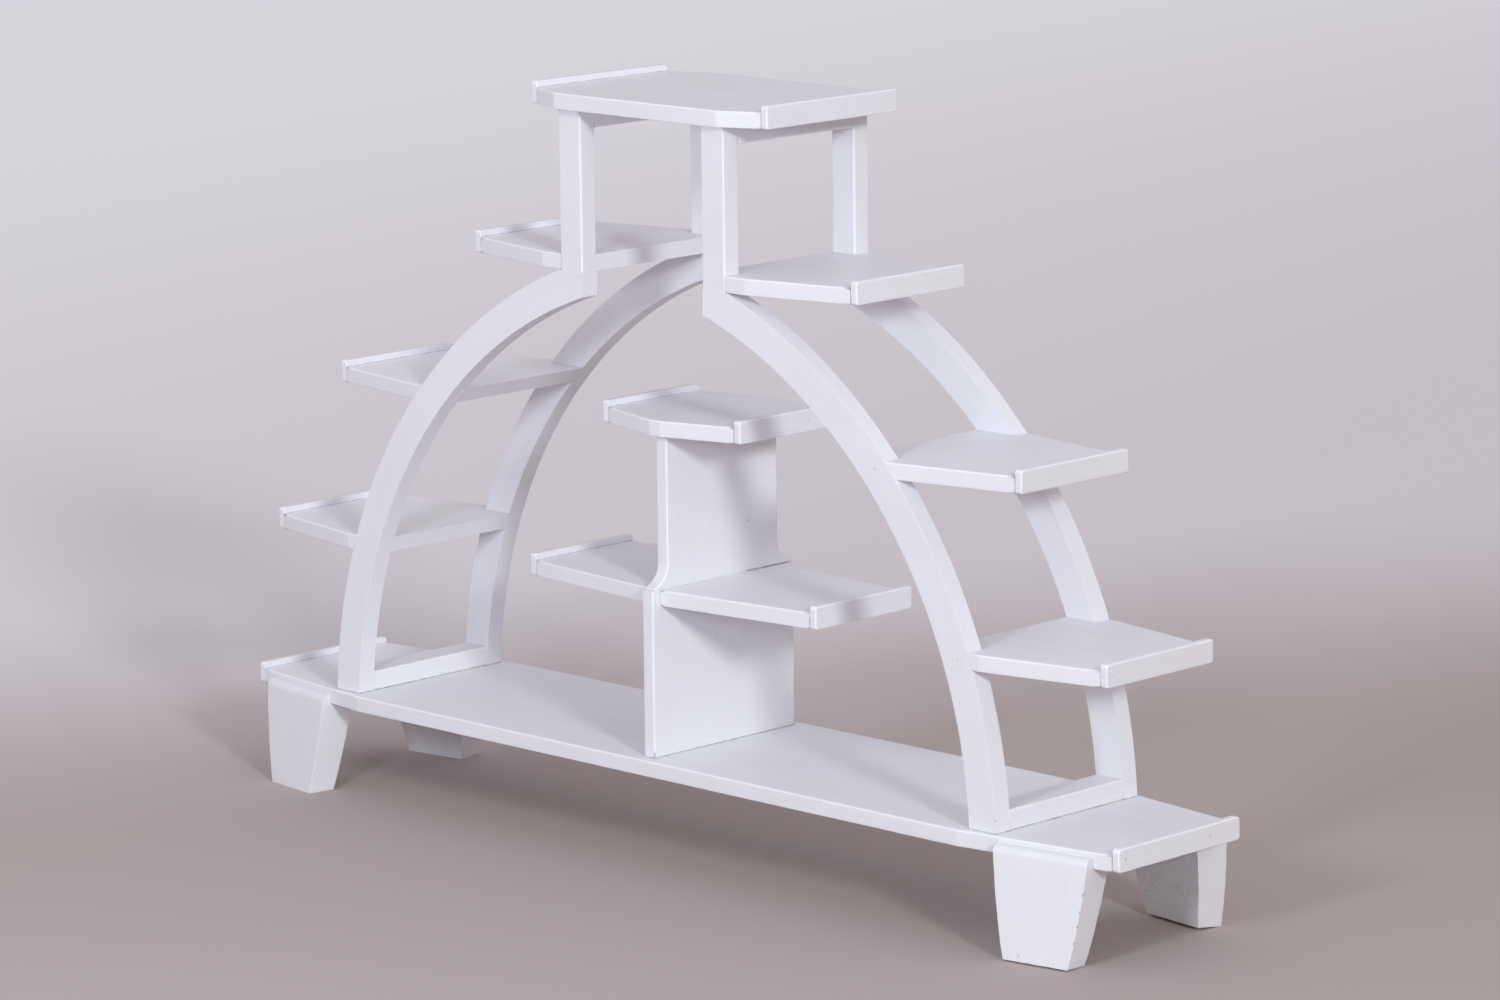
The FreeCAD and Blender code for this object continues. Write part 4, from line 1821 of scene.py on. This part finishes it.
@dataclass
class SideShelves(StandPart):
    """Six shelves that reach out from the ribs and posts, each with a lip."""

    overhang: float = 0.163
    end_depth: float = 0.164
    straights: Triple = (15 * MM, 2 * MM, 27 * MM)
    spare: float = 8 * MM
    circle_steps: int = 360

    def frame_outer(self, level: float) -> float:
        """The outer face of the rib or post at a shelf's top.

        Args:
            level: The shelf's top.

        Returns:
            The x of the face.
        """
        if level > LEVELS.rib_head:
            return FRAME.post_outer
        return FRAME.arch.reach(FRAME.arch.outer_radius, level)

    def round_cutter(self, radius: float, low: float, high: float, side: Side) -> Workpiece:
        """What lies inside a circle about the arch's centre.

        Args:
            radius: The circle's radius.
            low: The least y.
            high: The greatest y.
            side: The end of the stand.

        Returns:
            The cutter.
        """
        x, z = FRAME.arch.centre
        cutter = Workpiece()
        matrix = Matrix.Translation((x, (low + high) / 2, z)) @ Matrix.Rotation(math.pi / 2, 4, "X")
        bmesh.ops.create_cone(
            cutter.bm, cap_ends=True, segments=self.circle_steps, radius1=radius, radius2=radius,
            depth=high - low, matrix=matrix,
        )
        return cutter.place(side)

    def notches(self, level: float, side: Side) -> list[Workpiece]:
        """What a shelf loses to the frame that carries it.

        Args:
            level: The shelf's top.
            side: The end of the stand.

        Returns:
            The cutters.
        """
        near, far = FRAME.tongue, FRAME.face + self.spare
        beside = ((-far, -near), (near, far))
        if level > LEVELS.rib_head:
            low, high = level - LEVELS.board - self.spare, level + self.spare
            start, stop = FRAME.post_inner - self.spare, FRAME.post_outer
            return [box_piece((start, ys[0], low), (stop, ys[1], high)).place(side) for ys in beside]
        arch = FRAME.arch
        under = [self.round_cutter(arch.inner_radius, -far, far, side)]
        return under + [self.round_cutter(arch.outer_radius, *ys, side) for ys in beside]

    def build(self) -> None:
        """Make the shelves and their lips."""
        names, levels = ("lower", "middle", "upper"), (LEVELS.lower, LEVELS.middle, LEVELS.upper)
        for name, level, straight in zip(names, levels, self.straights):
            outer = self.frame_outer(level)
            end, start = outer + self.overhang - PLAN.lip, FRAME.post_inner
            if level < LEVELS.rib_head:
                start = FRAME.arch.reach(FRAME.arch.inner_radius, level) - self.spare
            outline = ((start, -FRAME.face), (outer + straight, -FRAME.face), (end, -self.end_depth / 2))
            for side in Side:
                work = Slab(outline, level).work().place(side)
                node = f"{name}_shelf_{side.name.lower()}"
                seats, cutters = [(0, side.value * end)], self.notches(level, side)
                self.dress(work, f"{node}_board", node, Run.ALONG, seats, cutters=cutters)
            self.fit_lips(f"{name}_lip", EndLip(end, level, self.end_depth))
        self.fill_nails("side_shelf_nail_putty")


@dataclass
class TopShelf(StandPart):
    """The top shelf, with its corners cut off and a lip at each end."""

    length: float = 0.352
    depth: float = 0.235
    end_depth: float = 0.196
    straight: float = 0.240

    def build(self) -> None:
        """Make the shelf and its lips."""
        end = self.length / 2 - PLAN.lip
        outline = cut_corners(end, self.end_depth / 2, self.straight / 2, self.depth / 2)
        work = Slab(outline, LEVELS.top).work()
        self.dress(work, "top_shelf_board", "top_shelf", Run.ALONG, [(0, -end), (0, end)])
        self.fit_lips("top_lip", EndLip(end, LEVELS.top, self.end_depth))
        self.fill_nails("top_nail_putty")


@dataclass
class CentreTower(StandPart):
    """The upright panels in the middle, with two half shelves and a small top."""

    thickness: float = 0.016
    lower_depth: float = 0.215
    foot_depth: float = 0.206
    upper_depth: float = 0.168
    scoop: float = 0.031
    toe: float = 3 * MM
    opening: float = 0.9 * MM
    opening_from: float = 0.035
    opening_run: float = 0.05
    opening_height: float = 0.02
    closed_soil_and_shade: float = 0.3
    fleck_place: Vector = field(default_factory=lambda: Vector((0.008, 0.038, 0.3593)))
    fleck: Nick = Nick(2.4 * MM, 0.3 * MM)
    arris: float = 1.6 * MM
    groove: float = 0.4 * MM
    rim: float = 2.4 * MM
    toe_rim: float = 0.8 * MM
    soil_and_shade: float = 2.3 * MM
    grid: float = 14 * MM
    scoop_steps: int = 14
    shelf_reach: float = 0.208
    shelf_depth: float = 0.192
    shelf_end_depth: float = 0.148
    top_length: float = 0.207
    top_depth: float = 0.187
    top_end_depth: float = 0.139

    def shape_panel(self, work: Workpiece, low: float, high: float, depth: float, rim: float) -> None:
        """Round over and grid a sawn panel.

        Args:
            work: The panel.
            low: Its lowest level.
            high: Its highest level.
            depth: Its depth from front to back.
            rim: The width of the rim along its edges.
        """
        work.ease(self.arris, lambda a, b: abs(a.x - b.x) < NEAR and not is_level(a, b), 3, SQUARE)
        work.ease(self.groove, level_at(low), 1)
        work.rim(rim)
        work.slice(Z_AXIS, low, high, self.grid)
        work.slice(Y_AXIS, -depth / 2, depth / 2, self.grid)

    def build_lower_panel(self) -> None:
        """Make the panel that stands on the base."""
        half, depth = self.thickness / 2, self.lower_depth / 2
        work = box_piece((-half, -depth, LEVELS.base), (half, depth, LEVELS.lower))
        self.shape_panel(work, LEVELS.base, LEVELS.lower, self.lower_depth, self.rim)
        seats = [(2, LEVELS.base), (2, LEVELS.lower)]
        self.dress(work, "lower_panel_wood", "lower_panel", Run.UPRIGHT, seats, at_planes(seats[:1]))

    def build_upper_panel(self) -> None:
        """Make the narrower panel above it, with its hollow-curved foot."""
        work = Workpiece()
        foot, neck, x = self.foot_depth / 2, self.upper_depth / 2, -self.thickness / 2
        toe, spring, top = LEVELS.lower + self.toe, LEVELS.lower + self.scoop, LEVELS.middle - LEVELS.board
        turn = math.pi / 4
        ends = [Vector((foot, toe)), Vector((neck, spring))]
        middle = ends[0] + Vector(((neck - foot) * math.sin(turn), (spring - toe) * (1 - math.cos(turn))))
        centre = circle_centre(ends[0], middle, ends[1])
        sweep = (ends[0] - centre).angle(ends[1] - centre)
        right = work.arc(Vector((x, foot, toe)), Vector((x, *centre)), -X_AXIS, sweep, self.scoop_steps)
        left_centre = Vector((x, -centre.x, centre.y))
        left = work.arc(Vector((x, -foot, toe)), left_centre, X_AXIS, sweep, self.scoop_steps)
        head = [Vector((x, neck, top)), Vector((x, -neck, top))]
        sole = [Vector((x, -foot, LEVELS.lower)), Vector((x, foot, LEVELS.lower))]
        work.saw(right + head + left[::-1] + sole, X_AXIS * self.thickness)
        self.shape_panel(work, LEVELS.lower, top, self.foot_depth, self.toe_rim)
        work.cut_at(Z_AXIS * (LEVELS.lower + self.soil_and_shade), Z_AXIS)
        seats = [(2, LEVELS.lower), (2, top)]
        work.knock(self.fleck_place, [Y_AXIS, Z_AXIS], self.fleck)
        joint = at_planes(seats[:1], self.opening + self.groove)

        def dirt_and_shade(spot: Vector) -> float:
            """Dirt and painted shade in the joint, most of it where it has opened."""
            return joint(spot) * (1.0 if spot.y > self.opening_from else self.closed_soil_and_shade)

        self.dress(work, "upper_panel_wood", "upper_panel", Run.UPRIGHT, seats, dirt_and_shade, lift=self.crack)

    def crack(self, spot: Vector) -> Vector:
        """Lift the back half of the foot a little, where the joint has opened.

        Args:
            spot: A point of the panel.

        Returns:
            The point, moved up.
        """
        share = clamp((spot.y - self.opening_from) / self.opening_run)
        near = max(0.0, 1 - (spot.z - LEVELS.lower) / self.opening_height)
        return spot + Z_AXIS * (self.opening * share * near)

    def build_shelves(self) -> None:
        """Make the two half shelves and their lips."""
        root, start = self.shelf_depth / 2, self.thickness / 2
        end = start + self.shelf_reach - PLAN.lip
        outline = ((start, -root), (end, -self.shelf_end_depth / 2))
        for side in Side:
            work = Slab(outline, LEVELS.lower).work().place(side)
            seats = [(0, side.value * end), (0, side.value * start)]
            node = f"centre_shelf_{side.name.lower()}"
            self.dress(work, f"{node}_board", node, Run.ALONG, seats)
        self.fit_lips("centre_lip", EndLip(end, LEVELS.lower, self.shelf_end_depth))

    def build_top(self) -> None:
        """Make the small shelf on top and its lips."""
        end = self.top_length / 2 - PLAN.lip
        outline = cut_corners(end, self.top_end_depth / 2, self.thickness / 2, self.top_depth / 2)
        work = Slab(outline, LEVELS.middle).work()
        self.dress(work, "centre_top_board", "centre_top_shelf", Run.ALONG, [(0, -end), (0, end)])
        self.fit_lips("centre_top_lip", EndLip(end, LEVELS.middle, self.top_end_depth))

    def build(self) -> None:
        """Make the whole tower."""
        self.build_lower_panel()
        self.build_upper_panel()
        self.build_shelves()
        self.build_top()
        self.fill_nails("centre_nail_putty")


def circle_centre(a: Vector, b: Vector, c: Vector) -> Vector:
    """The centre of the circle through three points of a plane.

    Args:
        a: The first point.
        b: The second point.
        c: The third point.

    Returns:
        The centre.
    """
    first, second = b - a, c - a
    scale = 2 * (first.x * second.y - first.y * second.x)
    x = (second.y * first.length_squared - first.y * second.length_squared) / scale
    y = (first.x * second.length_squared - second.x * first.length_squared) / scale
    return a + Vector((x, y))


@dataclass
class Fasteners:
    """The nails, screws and dowels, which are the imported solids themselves."""

    steel: Material
    wood: Material

    def build(self) -> None:
        """Give each hidden fastener its finish."""
        finishes = {
            self.steel: ("lip_nails", "shelf_nails", "base_screws"),
            self.wood: (
                "foot_dowels", "rail_dowels", "post_dowels", "centre_shelf_dowels", "panel_dowels",
                "centre_top_dowels",
            ),
        }
        for finish, names in finishes.items():
            for name in names:
                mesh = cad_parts[name].data
                mesh.materials.clear()
                mesh.materials.append(finish)
                LOG.info("%s: %s", name, finish.name)


# The room


@dataclass(frozen=True)
class Studio:
    """A pale floor with painted shade near the stand, soft studio light and the camera."""

    camera_place: Triple = (4.34716, -4.35750, 1.57418)
    camera_right: Triple = (0.71338651, 0.70068237, -0.01113129)
    camera_up: Triple = (-0.12503919, 0.14290361, 0.98180637)
    camera_back: Triple = (0.68952512, -0.69901558, 0.18955827)
    lens: float = 140.406
    sensor: float = 36.0
    sight: Pair = (0.1, 100.0)
    floor_radius: float = 30.0
    floor_segments: int = 96
    floor_drop: float = MM / 10
    floor_roughness: float = 0.9
    floor_shine: float = 0.1
    # The floor's colours are painted light and shade: darkest near the stand and lighter further off
    floor_near_shade: Colour = (181, 169, 166)
    floor_mid: Colour = (221, 216, 220)
    floor_far: Colour = (244, 244, 248)
    first_turn: Triple = (-0.878, 0.479, 0.0)
    first_shade_band: Pair = (0.25, 1.60)
    second_turn: Triple = (-0.986, -0.164, 0.0)
    second_shade_band: Pair = (0.13, 5.23)
    key_azimuth: float = 67
    key_elevation: float = 20
    key_strength: float = 1.276
    key_colour: Colour = (248, 255, 255)
    key_width: float = 8
    box_place: Triple = (0.9, -2.6, 1.2)
    box_aim: Triple = (0.0, 0.0, 0.5)
    box_size: float = 0.45
    box_power: float = 30.0
    box_colour: Colour = (230, 242, 255)
    walls_colour: Colour = (255, 243, 225)
    walls_strength: float = 0.512
    ceiling_colour: Colour = (182, 196, 255)
    ceiling_strength: float = 0.363

    def build(self) -> None:
        """Set up the camera, the floor and the light."""
        self.set_camera()
        self.lay_floor()
        self.hang_key_lamp()
        self.stand_soft_box()
        self.light_room()
        bpy.context.scene.view_settings.view_transform = "Standard"

    def set_camera(self) -> None:
        """Put the camera where the photograph was taken from."""
        camera = put("camera", bpy.data.cameras.new("camera"))
        columns = [Vector(axis) for axis in (self.camera_right, self.camera_up, self.camera_back)]
        turn = Matrix(columns).transposed().to_4x4()
        camera.matrix_world = Matrix.Translation(self.camera_place) @ turn
        camera.data.lens, camera.data.sensor_width = self.lens, self.sensor
        camera.data.sensor_fit = "HORIZONTAL"
        camera.data.clip_start, camera.data.clip_end = self.sight
        bpy.context.scene.camera = camera

    def lay_floor(self) -> None:
        """Lay a pale floor with painted shade that makes it a little darker under the stand and lighter
        further off.
        """
        bm = bmesh.new()
        bmesh.ops.create_circle(bm, cap_ends=True, segments=self.floor_segments, radius=self.floor_radius)
        bmesh.ops.translate(bm, vec=Z_AXIS * -self.floor_drop, verts=bm.verts[:])
        floor = cast("floor", bm)
        bench = NodeBench("floor_paper")
        place = bench.place()
        # Painted shade: the floor darkens towards the stand along two bands
        first = bench.span(self.along(bench, place, self.first_turn), self.first_shade_band)
        second = bench.span(self.along(bench, place, self.second_turn), self.second_shade_band)
        beyond = bench.blend(second, srgb(*self.floor_mid), srgb(*self.floor_far))
        bench.set("Base Color", bench.blend(first, srgb(*self.floor_near_shade), beyond))
        bench.set("Roughness", self.floor_roughness)
        bench.set("Specular IOR Level", self.floor_shine)
        floor.data.materials.append(bench.material)

    def along(self, bench: NodeBench, place: Socket, way: Triple) -> Socket:
        """How far a point of the floor lies along a direction.

        Args:
            bench: The floor's finish.
            place: The point.
            way: The direction.

        Returns:
            The distance in metres.
        """
        node = bench.add("ShaderNodeVectorMath", operation="DOT_PRODUCT")
        bench.feed(node.inputs[0], place)
        bench.feed(node.inputs[1], tuple(way))
        return node.outputs["Value"]

    def hang_key_lamp(self) -> None:
        """Hang the main lamp far off to the right; its azimuth is counted from the front."""
        turn, rise = math.radians(self.key_azimuth), math.radians(self.key_elevation)
        level = math.cos(rise)
        towards = Vector((math.sin(turn) * level, -math.cos(turn) * level, math.sin(rise)))
        data = bpy.data.lights.new("key_lamp", "SUN")
        data.energy, data.angle = self.key_strength, math.radians(self.key_width)
        data.color = srgb(*self.key_colour)[:3]
        self.set_lamp(data, towards, towards)

    def stand_soft_box(self) -> None:
        """Stand a soft box near the front, so that the light falls off to the left."""
        data = bpy.data.lights.new("soft_box", "AREA")
        data.shape, data.size, data.energy = "DISK", self.box_size, self.box_power
        data.color = srgb(*self.box_colour)[:3]
        place = Vector(self.box_place)
        self.set_lamp(data, place, place - Vector(self.box_aim))

    def set_lamp(self, data: bpy.types.Light, place: Vector, away: Vector) -> None:
        """Put a lamp in the room.

        Args:
            data: The lamp.
            place: Where it stands.
            away: The way from what it lights to the lamp.
        """
        lamp = put(data.name, data)
        lamp.matrix_world = Matrix.Translation(place) @ away.to_track_quat("Z", "Y").to_matrix().to_4x4()

    def light_room(self) -> None:
        """Light the room from pale walls and a cooler ceiling, and show a pale wall behind the stand."""
        world = bpy.data.worlds.new("room")
        bpy.context.scene.world = world
        world.use_nodes = True
        tree = world.node_tree
        tree.nodes.clear()
        wall, walls, ceiling = (tree.nodes.new("ShaderNodeBackground") for _ in range(3))
        wall.inputs["Color"].default_value = srgb(*self.floor_far)
        walls.inputs["Color"].default_value = srgb(*self.walls_colour)
        walls.inputs["Strength"].default_value = self.walls_strength
        ceiling.inputs["Color"].default_value = srgb(*self.ceiling_colour)
        way, parts = tree.nodes.new("ShaderNodeTexCoord"), tree.nodes.new("ShaderNodeSeparateXYZ")
        overhead = tree.nodes.new("ShaderNodeMath")
        overhead.operation, overhead.use_clamp = "MULTIPLY", True
        overhead.inputs[1].default_value = self.ceiling_strength
        both, mix = tree.nodes.new("ShaderNodeAddShader"), tree.nodes.new("ShaderNodeMixShader")
        path, output = tree.nodes.new("ShaderNodeLightPath"), tree.nodes.new("ShaderNodeOutputWorld")
        tree.links.new(way.outputs["Generated"], parts.inputs[0])
        tree.links.new(parts.outputs[2], overhead.inputs[0])
        tree.links.new(overhead.outputs[0], ceiling.inputs["Strength"])
        tree.links.new(walls.outputs[0], both.inputs[0])
        tree.links.new(ceiling.outputs[0], both.inputs[1])
        tree.links.new(path.outputs["Is Camera Ray"], mix.inputs[0])
        tree.links.new(both.outputs[0], mix.inputs[1])
        tree.links.new(wall.outputs[0], mix.inputs[2])
        tree.links.new(mix.outputs[0], output.inputs[0])


def main() -> None:
    """Build the room, then the stand, piece by piece."""
    logging.basicConfig(level=logging.INFO, format="%(name)s: %(message)s")
    Studio().build()
    paint, putty = BrushedPaint().material(), NailFilling().material()
    Fasteners(DullSteel().material(), BareWood("dowel_beech").material()).build()
    for part in (Base, Feet, SideFrames, SideShelves, TopShelf, CentreTower):
        made = part(paint, putty)
        made.build()
        LOG.info("%s: %d pieces", part.__name__, len(made.pieces))


if __name__ == "__main__":
    main()
